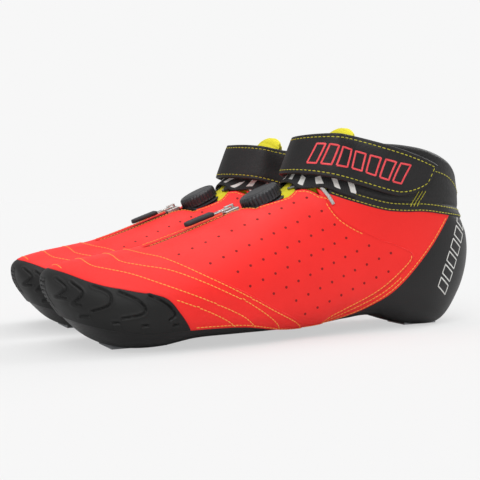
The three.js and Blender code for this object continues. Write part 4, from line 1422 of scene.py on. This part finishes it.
class SKATE_OT_elastic(BootPiece):
    """Elastic band across the tongue, under the strap"""

    bl_idname = "skate.elastic"
    bl_label = "Elastic band"

    def build(self, scene, side):
        sewn = [([-92, 84.5], [-88, 96], 3.0), ([-101, 87.5], [-97.5, 99.5], 3.0), ([-109, 91], [-105, 102], 2.4)]
        columns = [worn(a, b, -1, out) for a, b, out in sewn]
        t = np.linspace(0, 1, ROWS)
        for angle in (-0.42, -0.2, 0.0, 0.2, 0.42):
            s = 12.65 + 2.1 * t
            columns.append(form_point(s, 0 * t + angle) + form_normal(s, 0 * t + angle) * 1.2)
        columns += [worn(a, b, 1, out) for a, b, out in reversed(sewn)]
        columns = np.array(columns)
        steps = np.linspace(0, len(columns) - 1, 110)
        grid = through(steps, columns)
        travel = np.concatenate([[0], np.cumsum(np.linalg.norm(np.diff(grid[:, 12], axis=0), axis=1))])
        across = np.linalg.norm(grid - grid[:, :1], axis=2)
        edge = np.minimum(across, np.linalg.norm(grid - grid[:, -1:], axis=2))
        points, faces = slab(grid, grid_normals(grid), np.full(edge.shape, -1.2), np.zeros(edge.shape), edge, 0.5)
        along = np.repeat(travel[:, None], ROWS, 1).ravel()
        values = {"along": np.r_[along, along], "across": np.r_[across.ravel(), across.ravel()]}
        piece = make_mesh(f"{side}_elastic_webbing", points, faces, side, values, 40)
        finish_piece(fix_outward(piece, merge=False), side, "boot", "elastic", ["elastic_band"])


# ---------------------------------------------------------------- zip
ZIP_LOW, ZIP_HIGH = np.array([-218, 58.4]), np.array([-157, 79.8])
ZIP_LENGTH = float(np.hypot(*(ZIP_HIGH - ZIP_LOW)))
ZIP_ANGLE = math.atan2(*(ZIP_HIGH - ZIP_LOW)[::-1])
SLIDER_FROM = ZIP_LENGTH - 11
PIN, PIN_UP = SLIDER_FROM + 4.5, 3.15
GRIP_RUN = (-31.0, -11.6)


def zip_place(points):
    """Zip coordinates (along, across, up) to boot coordinates."""
    points = np.asarray(points, float)
    c, s = math.cos(ZIP_ANGLE), math.sin(ZIP_ANGLE)
    return np.stack([ZIP_LOW[0] + points[..., 0] * c - points[..., 2] * s, points[..., 1],
                     ZIP_LOW[1] + points[..., 0] * s + points[..., 2] * c], -1)


def zip_part(side, name, parts, sharp=35):
    points, faces = joined(parts)
    return fix_outward(make_mesh(f"{side}_{name}", zip_place(points), faces, side, sharp=sharp))


class SKATE_OT_zip(BootPiece):
    """Zip over the instep, with its slider and puller"""

    bl_idname = "skate.zip"
    bl_label = "Zip"

    def build(self, scene, side):
        tape = zip_part(side, "zip_webbing", [
            rounded_block((ZIP_LENGTH + 5.5, 18, 1.2), (ZIP_LENGTH / 2 - 1.2, 0, -4.0), 0.3),
            rounded_block((ZIP_LENGTH - 1, 4.6, 2.6), (ZIP_LENGTH / 2, 0, -2.4), 0.5),
        ])
        finish_piece(tape, side, "boot", "zip_fabric", ["zip_tape"])
        rows = []
        up = zip_place([0, 0, 1]) - zip_place([0, 0, 0])
        count = int(ZIP_LENGTH / 1.25)
        for k in range(count):
            for sign in (-1, 1):
                at = zip_place([(k + 0.25 * (1 + sign)) * ZIP_LENGTH / count, sign * 0.95, -0.75])
                rows.append((at, np.array([0.0, 1.0, 0.0]), up))
        coil = repeated(f"{side}_zip_coil", "stitch", side, rows, COIL_TOOTH, "guide")
        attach(coil, f"{side}_boot")
        body = [
            rounded_block((9.8, 7.6, 1.3), (SLIDER_FROM + 5, 0, 1.5), 0.6, 4),
            rounded_block((9.2, 1.3, 4.4), (SLIDER_FROM + 5, 3.1, -0.6), 0.5, 3),
            rounded_block((9.2, 1.3, 4.4), (SLIDER_FROM + 5, -3.1, -0.6), 0.5, 3),
            rounded_block((6.3, 2.4, 0.85), (SLIDER_FROM + 4.75, 0, 4.45), 0.38, 4),
            rounded_block((1.2, 2.4, 2.9), (SLIDER_FROM + 2.2, 0, 3.2), 0.38, 4),
            rounded_block((1.4, 2.4, 2.9), (SLIDER_FROM + 7.1, 0, 3.2), 0.38, 4),
        ]
        slider = zip_part(side, "zip_slider_body", body)
        finish_piece(slider, side, "slider", "slider", ["zip_slider"])
        puller = zip_part(side, "zip_puller_frame", [
            rounded_block((7.2, 1.25, 0.95), (PIN - 3.0, 2.5, PIN_UP), 0.4, 4),
            rounded_block((7.2, 1.25, 0.95), (PIN - 3.0, -2.5, PIN_UP), 0.4, 4),
            rounded_block((0.9, 5.4, 0.9), (PIN, 0, PIN_UP), 0.4, 4),
            rounded_block((6.4, 6.2, 0.95), (PIN - 9.6, 0, PIN_UP), 0.42, 4),
        ])
        finish_piece(puller, side, "puller", "slider", ["zip_puller"])
        x = np.linspace(*GRIP_RUN, 60)
        y = np.linspace(-1, 1, 21)
        half = 3.8 - 0.5 * np.clip((-x - 14) / 17, 0, 1)
        half = half * np.sqrt(np.clip((x - GRIP_RUN[0]) / 3.0, 0.02, 1)) ** 0.6
        ridge = 0.16 * np.cos((x + 22) * 2 * math.pi / 2.6) * ((x > -29) & (x < -18))
        grid = np.stack([np.repeat((PIN + x)[:, None], 21, 1), y[None, :] * half[:, None],
                         PIN_UP + 0.6 + 0 * y[None, :] + 0 * x[:, None]], -1)
        ends = np.minimum(x - GRIP_RUN[0], GRIP_RUN[1] - x)
        edge = np.maximum(np.minimum(half[:, None] * (1 - np.abs(y)), ends[:, None]), 0)
        upward = np.zeros_like(grid)
        upward[..., 2] = 1
        blade = slab(grid, upward, np.full(edge.shape, -1.5), 1.35 + ridge[:, None] * (edge > 1.1), edge, 1.0)
        grip = zip_part(side, "zip_grip_blade", [blade], 0)
        finish_piece(grip, side, "puller", "grip", ["zip_grip"])


# ---------------------------------------------------------------- dial
DIAL_TILT = math.radians(26)
DIAL_FOOT = np.array([-140.0, 0.0, 82.0])


def dial_place(points):
    """Dial coordinates, with Z along its axis, to boot coordinates."""
    points = np.asarray(points, float)
    c, s = math.cos(DIAL_TILT), math.sin(DIAL_TILT)
    return np.stack([points[:, 0] * c - points[:, 2] * s, points[:, 1],
                     points[:, 0] * s + points[:, 2] * c], -1) + DIAL_FOOT


class SKATE_OT_dial(BootPiece):
    """Lacing dial: housing, ribbed knob, spool and hub"""

    bl_idname = "skate.dial"
    bl_label = "Dial"

    def build(self, scene, side):
        base = [(9.6, 1.7), (9.8, 6.3), (10.1, 6.6), (11.7, 6.6), (12.0, 6.3), (12.0, 1.9), (12.6, 1.5),
                (14.5, 1.2), (15.0, 0.9), (15.0, 0.2), (14.6, 0.0), (0.0, 0.0)]
        points, faces = lathe([(0.0, 1.7)] + base, 72)
        piece = fix_outward(make_mesh(f"{side}_dial_housing", dial_place(points), faces, side, sharp=35))
        finish_piece(piece, side, "boot", "dial", ["dial_base"])

        rows, columns = 30, 25
        first, last = -154.5, -132
        x = np.linspace(first, last, rows)
        half = np.interp(x, [first, -152, -146, -140, -135, last], [6, 12, 16.5, 16.5, 13.5, 6])
        share = np.linspace(-1, 1, columns)
        grid = np.zeros((rows, columns, 3))
        angles = np.linspace(-1.2, 1.2, 121)
        for i in range(rows):
            at = np.full(len(angles), np.interp(x[i], RIBS[:, 0], np.arange(len(RIBS))))
            out = form_point(at, angles) - form_normal(at, angles)
            order = np.argsort(out[:, 1])
            y = -share * half[i]
            grid[i] = np.stack([np.interp(y, out[order, 1], out[order, k]) for k in range(3)], -1)
        edge = np.minimum(half[:, None] * (1 - np.abs(share)), np.minimum(x - first, last - x)[:, None])
        points, faces = slab(grid, -grid_normals(grid), np.full(edge.shape, -2.4), 0 * edge, np.maximum(edge, 0), 1.0)
        bed = fix_outward(make_mesh(f"{side}_dial_bed", points, faces, side, sharp=50))
        finish_piece(bed, side, "boot", "guide")

        def ribs(radius, turn, height):
            depth = 0.55 * np.clip((radius - 11.5) / 1.2, 0, 1) * (2.9 < height < 9.3)
            return radius - depth * (0.5 - 0.5 * np.cos(turn * 30)) ** 2

        knob = [(0, 7.4), (12.3, 7.4), (12.5, 7.2), (12.5, 2.8), (12.7, 2.6), (13.3, 2.6), (13.5, 2.8),
                (13.5, 3.2), (13.5, 4.6), (13.5, 6.2), (13.45, 7.6), (13.25, 8.5), (12.8, 9.2), (12.0, 9.7),
                (10.9, 9.95), (10.3, 9.95), (9.9, 9.6), (9.4, 9.6), (9.0, 9.9), (6.0, 10.05), (3.0, 10.1),
                (0, 10.1)]
        points, faces = lathe(knob, 240, ribs)
        piece = fix_outward(make_mesh(f"{side}_dial_knob_cap", dial_place(points), faces, side, sharp=35))
        finish_piece(piece, side, "knob", "dial", ["dial_knob"])
        for node, finish in (("dial_spool", "guide"), ("dial_hub", "steel")):
            repaint(f"{side}_{node}", finish)


def repaint(node, finish):
    """A finish for a CAD solid that stays."""
    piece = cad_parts[node]
    if not piece.material_slots:
        piece.data.materials.append(material_of(finish))
    for slot in piece.material_slots:
        slot.material = material_of(finish)


# ---------------------------------------------------------------- lace and guides
# The lace's height over the form, and its run from the outer guide to the top line.
LACE_UP = -1.3
LACE_RUN = [(12.15, 0.18), (12.6, 0.26), (13.1, 0.28), (13.7, 0.22), (14, 0.1)]


def lace_path(count=120):
    knots = LACE_RUN + [(14.05, 0.0)] + [(s, -a) for s, a in reversed(LACE_RUN)]
    s, a = np.array(knots).T
    points = form_point(s, a) + form_normal(s, a) * LACE_UP
    return through(np.linspace(0, len(knots) - 1, count), points)


class SKATE_OT_lace(BootPiece):
    """Lace loop and its two guides"""

    bl_idname = "skate.lace"
    bl_label = "Lace and guides"

    def build(self, scene, side):
        path = lace_path()
        points, faces = tube(path, 0.8, 12)
        piece = fix_outward(make_mesh(f"{side}_lace_wire", points, faces, side, sharp=0))
        finish_piece(piece, side, "boot", "steel", ["lace"])
        for label, sign in (("outer", 1), ("inner", -1)):
            at = int(len(path) * (0.2 if sign > 0 else 0.8))
            middle = path[at]
            ahead = path[at + 3] - middle
            ahead /= np.linalg.norm(ahead)
            up = form_normal(np.array(12.95), np.array(sign * 0.28))
            across = np.cross(up, ahead)
            across /= np.linalg.norm(across)
            up = np.cross(ahead, across)
            bend_at = np.linspace(-1, 1, 22)
            outline = (middle + ahead * (bend_at * 4.6)[:, None]
                       + across * (sign * -(bend_at**2) * 2.4)[:, None] + up * 0.1)
            body = tube(outline, 1.75 + 0.5 * (1 - bend_at**2), 14, np.tile(up, (22, 1)), 0.85)
            tab = rounded_block((7.5, 5.2, 1.3), (0, 0, 0), 0.5, 3)
            turn = np.stack([ahead, across, up], 0)
            shifted = tab[0] @ turn + middle + across * sign * 2.6 - up * 0.9
            points, faces = joined([body, (shifted, tab[1])])
            guide = fix_outward(make_mesh(f"{side}_guide_hook_{label}", points, faces, side, sharp=40))
            finish_piece(guide, side, "boot", "guide", [f"lace_guide_{label}"])


class SKATE_OT_mounts(BootPiece):
    """Frame mounting plates in the sole"""

    bl_idname = "skate.mounts"
    bl_label = "Mounting plates"

    def build(self, scene, side):
        for node in ("front_mount_plate", "heel_mount_plate"):
            repaint(f"{side}_{node}", "alloy")


# ---------------------------------------------------------------- stitching, perforations, trims
def upper_height(p, n):
    """Outer face of the upper's panels over the form."""
    over_vamp = vamp_edge(p, n) < 0.05
    over_quarter = quarter_edge(p, n) < 0.05
    return np.where(over_vamp, VAMP_OUT, np.where(over_quarter, QUARTER_OUT, HEEL_OUT))


def red_rows():
    """Stitch places on the red panels."""
    w = weave()
    rows = []
    on_vamp = lambda p, n: (vamp_edge(p, n) < -0.6) & (shell_edge(p, n) > 0.5) & (bumper_edge(p, n) > 0.4)
    height = lambda p, n: upper_height(p, n) + 0.02
    for line in VAMP_LINES:
        rule = edge_of(line)
        rows += form_rows(w.contour(w.measure(rule), 0.0), height, 2.4, on_vamp)
    rows += form_rows(w.contour(w.measure(vamp_edge), -1.6), height, 2.4, lambda p, n: shell_edge(p, n) > 1.2)
    behind = lambda p, n: ((bumper_edge(p, n) > 1.0) & (collar_edge(p, n) < -1.0) & (p[:, 2] < 80)
                           & (np.abs(vamp_edge(p, n)) > 0.6))
    rows += form_rows(w.contour(w.measure(shell_edge), 1.7), height, 2.4, behind)
    lower = lambda p, n: ((p[:, 2] < 47.5) & (shell_edge(p, n) > 2.4))
    rows += form_rows(w.contour(w.measure(quarter_edge), -1.6), height, 2.4, lower)
    rows += form_rows(w.contour(w.measure(quarter_edge), 1.9), height, 2.4,
                      lambda p, n: lower(p, n) & (p[:, 0] < -62))
    high = lambda p, n: (p[:, 2] > 62) & (p[:, 2] < 82) & (collar_edge(p, n) < -1.5)
    rows += form_rows(w.contour(w.measure(quarter_edge), -1.6), height, 2.4, high)
    slit = lambda p, n: (p[:, 2] > 40) & (p[:, 0] < -106) & (p[:, 0] > -219) & (vamp_edge(p, n) > 0.5)
    rows += form_rows(w.contour(w.measure(throat_room), 1.7), height, 2.4, slit)
    return rows


def collar_rows():
    w = weave("cuff")
    height = lambda p, n: collar_top(p, n, np.full(len(p), 9.0)) + 0.05
    rows = []
    for level in (1.7, 5.6):
        lift = (lambda p, n: collar_top(p, n, np.full(len(p), level)) + 0.05)
        test = lambda p, n: (front_edge(p, n) < -2.5) & (rim_edge(p, n) < -3)
        rows += form_rows(w.contour(w.measure(collar_edge), level), lift, 2.7, test)
    seam = edge_of([(-66, 111), (-52, 106), (-40, 101.5), (-28, 97.5), (-18, 91), (-10, 84), (0, 75)])
    test = lambda p, n: (p[:, 0] > -46) & (rim_edge(p, n) < -3) & (collar_edge(p, n) > 9)
    rows += form_rows(w.contour(w.measure(seam), 0.0), height, 2.7, test)
    for shift in (-2.4, 0.0, 2.4):
        x = np.linspace(-46 + shift, -52 + shift, 12)
        z = np.linspace(88, 78.5, 12)
        for side in (1, -1):
            s, a = side_place(x, z, side)
            p, n = form_point(s, a), form_normal(s, a)
            rows += along_line(p + n * height(p, n)[:, None], n, 1.5)
    return rows


class SKATE_OT_stitching(BootPiece):
    """Stitches of the upper and the collar"""

    bl_idname = "skate.stitching"
    bl_label = "Stitching"

    def build(self, scene, side):
        if "red_rows" not in _PANELS:
            _PANELS["red_rows"], _PANELS["collar_rows"] = red_rows(), collar_rows()
        piece = repeated(f"{side}_upper_stitches", "stitch", side, _PANELS["red_rows"], RED_STITCH, "orange_thread")
        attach(piece, f"{side}_boot")
        piece = repeated(f"{side}_collar_stitches", "stitch", side, _PANELS["collar_rows"], COLLAR_STITCH,
                         "yellow_thread")
        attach(piece, f"{side}_boot")


class SKATE_OT_perforations(BootPiece):
    """Breathing holes in the quarters, drawn as flat dark red discs of painted shade"""

    bl_idname = "skate.perforations"
    bl_label = "Perforations"

    def build(self, scene, side):
        if "holes" not in _PANELS:
            rows = []
            a, b = np.array([8.8, 3.1]), np.array([6.6, -8.4])
            grid = [np.array([-160, 50]) + a * i + b * j for i in range(-16, 17) for j in range(-16, 17)]
            grid = np.array([g for g in grid if -225 < g[0] < -50 and 10 < g[1] < 95])
            for sign in (1, -1):
                s, angle = side_place(grid[:, 0], grid[:, 1], sign)
                p, n = form_point(s, angle), form_normal(s, angle)
                near = np.hypot(p[:, 0] - grid[:, 0], p[:, 2] - grid[:, 1]) < 0.8
                ok = (near & (vamp_edge(p, n) > 4.5) & (quarter_edge(p, n) < -4.5) & (shell_edge(p, n) > 6)
                      & (throat_room(p, n) > 5) & (collar_edge(p, n) < -6) & (np.abs(p[:, 1]) > 7))
                ahead = np.cross(n, [0.0, 1.0, 0.0])
                ahead /= np.maximum(np.linalg.norm(ahead, axis=1, keepdims=True), 1e-9)
                rows += [(p[k] + n[k] * QUARTER_OUT, ahead[k], n[k]) for k in np.nonzero(ok)[0]]
            _PANELS["holes"] = rows
        # the holes are flat discs on the quarters, coloured with painted shade
        piece = repeated(f"{side}_perforations", "hole", side, _PANELS["holes"], HOLE, "perforation")
        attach(piece, f"{side}_boot")


class SKATE_OT_trims(BootPiece):
    """Piping at the quarters, heel tab and the heel's printed bars"""

    bl_idname = "skate.trims"
    bl_label = "Trims"

    def build(self, scene, side):
        parts = []
        for sign in (1, -1):
            z = np.linspace(81, 93.5, 24)
            x = np.interp(z, [81, 86, 93.5], [-105.5, -107.5, -111.5])
            s, a = side_place(x, z, sign)
            p, n = form_point(s, a), form_normal(s, a)
            parts.append(tube(p + n * 1.0, 1.15, 10, n, 0.55))
        points, faces = joined(parts)
        piece = fix_outward(make_mesh(f"{side}_quarter_piping", points, faces, side, sharp=0))
        finish_piece(piece, side, "boot", "piping")
        share = np.linspace(-1, 1, 13)
        angles = math.pi + share * 0.15
        angles = np.where(angles > math.pi, angles - 2 * math.pi, angles)
        s = through(np.linspace(0, 1, 18), np.array([17.45, 18.6]))
        grid = form_point(s[:, None], angles[None, :])
        normals = form_normal(s[:, None], angles[None, :])
        edge = strap_edge(grid, (True, True))
        points, faces = slab(grid, normals, np.full(edge.shape, 0.4), np.full(edge.shape, 3.0), edge, 0.8)
        tab = fix_outward(make_mesh(f"{side}_heel_tab", points, faces, side, sharp=50))
        finish_piece(tab, side, "boot", "red")
        bars = []
        foot, head = np.array([-29.0, 22.0]), np.array([-7.0, 72.0])
        ahead = (head - foot) / np.linalg.norm(head - foot)
        across = np.array([-ahead[1], ahead[0]])
        for k in range(6):
            bar = slanted_bar(k * 9.0, -4.6, 6.2, 9.2, 2.6)
            place = foot + bar[:, :1] * ahead + bar[:, 1:] * across
            s, a = side_place(place[:, 0], place[:, 1], 1)
            p, n = form_point(s, a), form_normal(s, a)
            bars.append(tube(p + n * SHELL_OUT, 0.45, 6, n, 0.3))
        points, faces = joined(bars)
        motif = fix_outward(make_mesh(f"{side}_heel_print", points, faces, side))
        finish_piece(motif, side, "boot", "white")


# ---------------------------------------------------------------- stage
FLOOR_REACH = (6.0, 24.0)
# The camera's azimuth, elevation and roll in degrees, and its place in the left boot's coordinates.
CAMERA_TURN = (-22.08, 2.61, -1.46)
CAMERA_AT = (-406.66, -615.26, 90.52)


class SKATE_OT_stage(bpy.types.Operator):
    """Pale floor, soft studio light and the camera"""

    bl_idname = "skate.stage"
    bl_label = "Stage"
    bl_options = {"REGISTER", "UNDO"}

    def execute(self, context):
        scene = context.scene
        stage = scene.skate_stage
        scene.view_settings.view_transform = "Standard"
        scene.view_settings.look = "None"
        scene.view_settings.exposure = 0
        scene.view_settings.gamma = 1
        mesh = bpy.data.meshes.new("floor")
        wide, deep = FLOOR_REACH
        mesh.from_pydata([(-wide, -wide, 0), (wide, -wide, 0), (wide, deep, 0), (-wide, deep, 0)], [], [(0, 1, 2, 3)])
        floor = bpy.data.objects.new("floor", mesh)
        scene.collection.objects.link(floor)
        f = Finish("pale floor")
        grain = f.noise(3, 2).ramp(0.3, 0.7, 0.0, 0.004)
        color = f.mix(grain, tuple([stage.floor_diffuse] * 3), (0.6, 0.6, 0.6))
        f.done(Base_Color=color, Roughness=0.9, Specular_IOR_Level=0.0)
        f.shader.inputs["Emission Color"].default_value = (1, 1, 1, 1)
        f.shader.inputs["Emission Strength"].default_value = stage.floor_glow
        mesh.materials.append(f.material)
        floor.visible_diffuse = floor.visible_glossy = floor.visible_shadow = False
        under = bpy.data.objects.new("grey_underlay", mesh.copy())
        under.data.materials.clear()
        f = Finish("grey underlay")
        f.done(Base_Color=(0.6, 0.6, 0.6), Roughness=0.9, Specular_IOR_Level=0.0)
        under.data.materials.append(f.material)
        under.location.z = -0.002
        under.visible_camera = False
        scene.collection.objects.link(under)
        world = bpy.data.worlds.new("studio")
        scene.world = world
        world.use_nodes = True
        nodes, links = world.node_tree.nodes, world.node_tree.links
        shade = nodes["Background"]
        shade.inputs[0].default_value = (1, 1, 1, 1)
        shade.inputs[1].default_value = stage.surround
        backdrop = nodes.new("ShaderNodeBackground")
        backdrop.inputs[0].default_value = (*linear(247, 247, 247), 1)
        seen, blend = nodes.new("ShaderNodeLightPath"), nodes.new("ShaderNodeMixShader")
        links.new(seen.outputs["Is Camera Ray"], blend.inputs[0])
        links.new(shade.outputs[0], blend.inputs[1])
        links.new(backdrop.outputs[0], blend.inputs[2])
        links.new(blend.outputs[0], nodes["World Output"].inputs["Surface"])
        for name, direction, angle, power in (
            ("key", (-0.45, -0.75, 0.85), 38, stage.key_power), ("top", (0.05, 0.1, 1), 60, stage.top_power),
            ("toe", (-1, -0.1, 0.35), 30, stage.front_power), ("back", (0.9, 0.15, 0.55), 35, stage.back_power),
        ):
            light = bpy.data.lights.new(name, "SUN")
            light.angle, light.energy = math.radians(angle), power
            lamp = bpy.data.objects.new(name, light)
            lamp.matrix_world = direction_matrix(direction, direction)
            scene.collection.objects.link(lamp)
        camera_data = bpy.data.cameras.new("camera")
        camera_data.sensor_width = 36
        camera_data.lens = stage.lens
        camera_data.clip_start, camera_data.clip_end = 0.01, 100
        camera = bpy.data.objects.new("camera", camera_data)
        scene.collection.objects.link(camera)
        azimuth, elevation, roll = (math.radians(angle) for angle in CAMERA_TURN)
        back = np.array([math.sin(azimuth) * math.cos(elevation), -math.cos(azimuth) * math.cos(elevation),
                         math.sin(elevation)])
        right = np.cross(-back, [0, 0, 1.0])
        right /= np.linalg.norm(right)
        up = np.cross(right, -back)
        right, up = math.cos(roll) * right + math.sin(roll) * up, -math.sin(roll) * right + math.cos(roll) * up
        at = placed(CAMERA_AT, "left")
        camera.matrix_world = Matrix([[right[k], up[k], back[k], at[k]] for k in range(3)] + [[0, 0, 0, 1]])
        scene.camera = camera
        return {"FINISHED"}


def direction_matrix(back, at):
    """A matrix at a place whose +Z points along back."""
    back = np.asarray(back, float) / np.linalg.norm(back)
    right = np.cross([0, 0, 1.0], back)
    right /= max(np.linalg.norm(right), 1e-6)
    up = np.cross(back, right)
    return Matrix([[right[k], up[k], back[k], at[k]] for k in range(3)] + [[0, 0, 0, 1]])


# ---------------------------------------------------------------- settings and panel
class SkateColors(bpy.types.PropertyGroup):
    red: FloatVectorProperty(name="Red", description="Colour of the upper's red panels", subtype="COLOR",
                             default=linear(252, 34, 28), min=0, max=1)


class SkateStage(bpy.types.PropertyGroup):
    lens: FloatProperty(name="Lens", description="Focal length on a 36 mm sensor", default=79.33, min=10)
    surround: FloatProperty(name="Surround", description="Strength of the light from all round", default=0.42,
                            min=0)
    floor_glow: FloatProperty(name="Floor glow", description="Light that the pale floor gives off itself",
                              default=0.554, min=0)
    floor_diffuse: FloatProperty(name="Floor tone", description="How much light the floor throws back",
                                 default=0.278, min=0, max=1)
    key_power: FloatProperty(name="Key light", description="Strength of the light over the toes", default=1.3, min=0)
    top_power: FloatProperty(name="Top light", description="Strength of the light overhead", default=1.1, min=0)
    front_power: FloatProperty(name="Toe light", description="Strength of the low light before the toes",
                               default=0.15, min=0)
    back_power: FloatProperty(name="Back light", description="Strength of the light behind the heels", default=1.7,
                              min=0)


STEPS = [
    SKATE_OT_stage, SKATE_OT_shell, SKATE_OT_bumper, SKATE_OT_vamp, SKATE_OT_quarters, SKATE_OT_heel_panels,
    SKATE_OT_collar, SKATE_OT_tongue, SKATE_OT_lining, SKATE_OT_strap, SKATE_OT_elastic, SKATE_OT_zip,
    SKATE_OT_dial, SKATE_OT_lace, SKATE_OT_mounts, SKATE_OT_stitching, SKATE_OT_perforations, SKATE_OT_trims,
]


class SKATE_PT_panel(bpy.types.Panel):
    """Lists the boots' pieces"""

    bl_idname = "SKATE_PT_panel"
    bl_label = "Speed skate boots"
    bl_space_type = "VIEW_3D"
    bl_region_type = "UI"
    bl_category = "Skate boots"

    def draw(self, context):
        scene = context.scene
        self.layout.prop(scene.skate_colors, "red")
        for key in SkateStage.__annotations__:
            self.layout.prop(scene.skate_stage, key)
        for step in STEPS:
            self.layout.operator(step.bl_idname)


CLASSES = [SkateColors, SkateStage, *STEPS, SKATE_PT_panel]


def register():
    for item in CLASSES:
        bpy.utils.register_class(item)
    bpy.types.Scene.skate_colors = PointerProperty(type=SkateColors)
    bpy.types.Scene.skate_stage = PointerProperty(type=SkateStage)


def unregister():
    del bpy.types.Scene.skate_stage
    del bpy.types.Scene.skate_colors
    for item in reversed(CLASSES):
        bpy.utils.unregister_class(item)


def main():
    register()
    for step in STEPS:
        group, name = step.bl_idname.split(".")
        getattr(getattr(bpy.ops, group), name)()


if __name__ == "__main__":
    main()
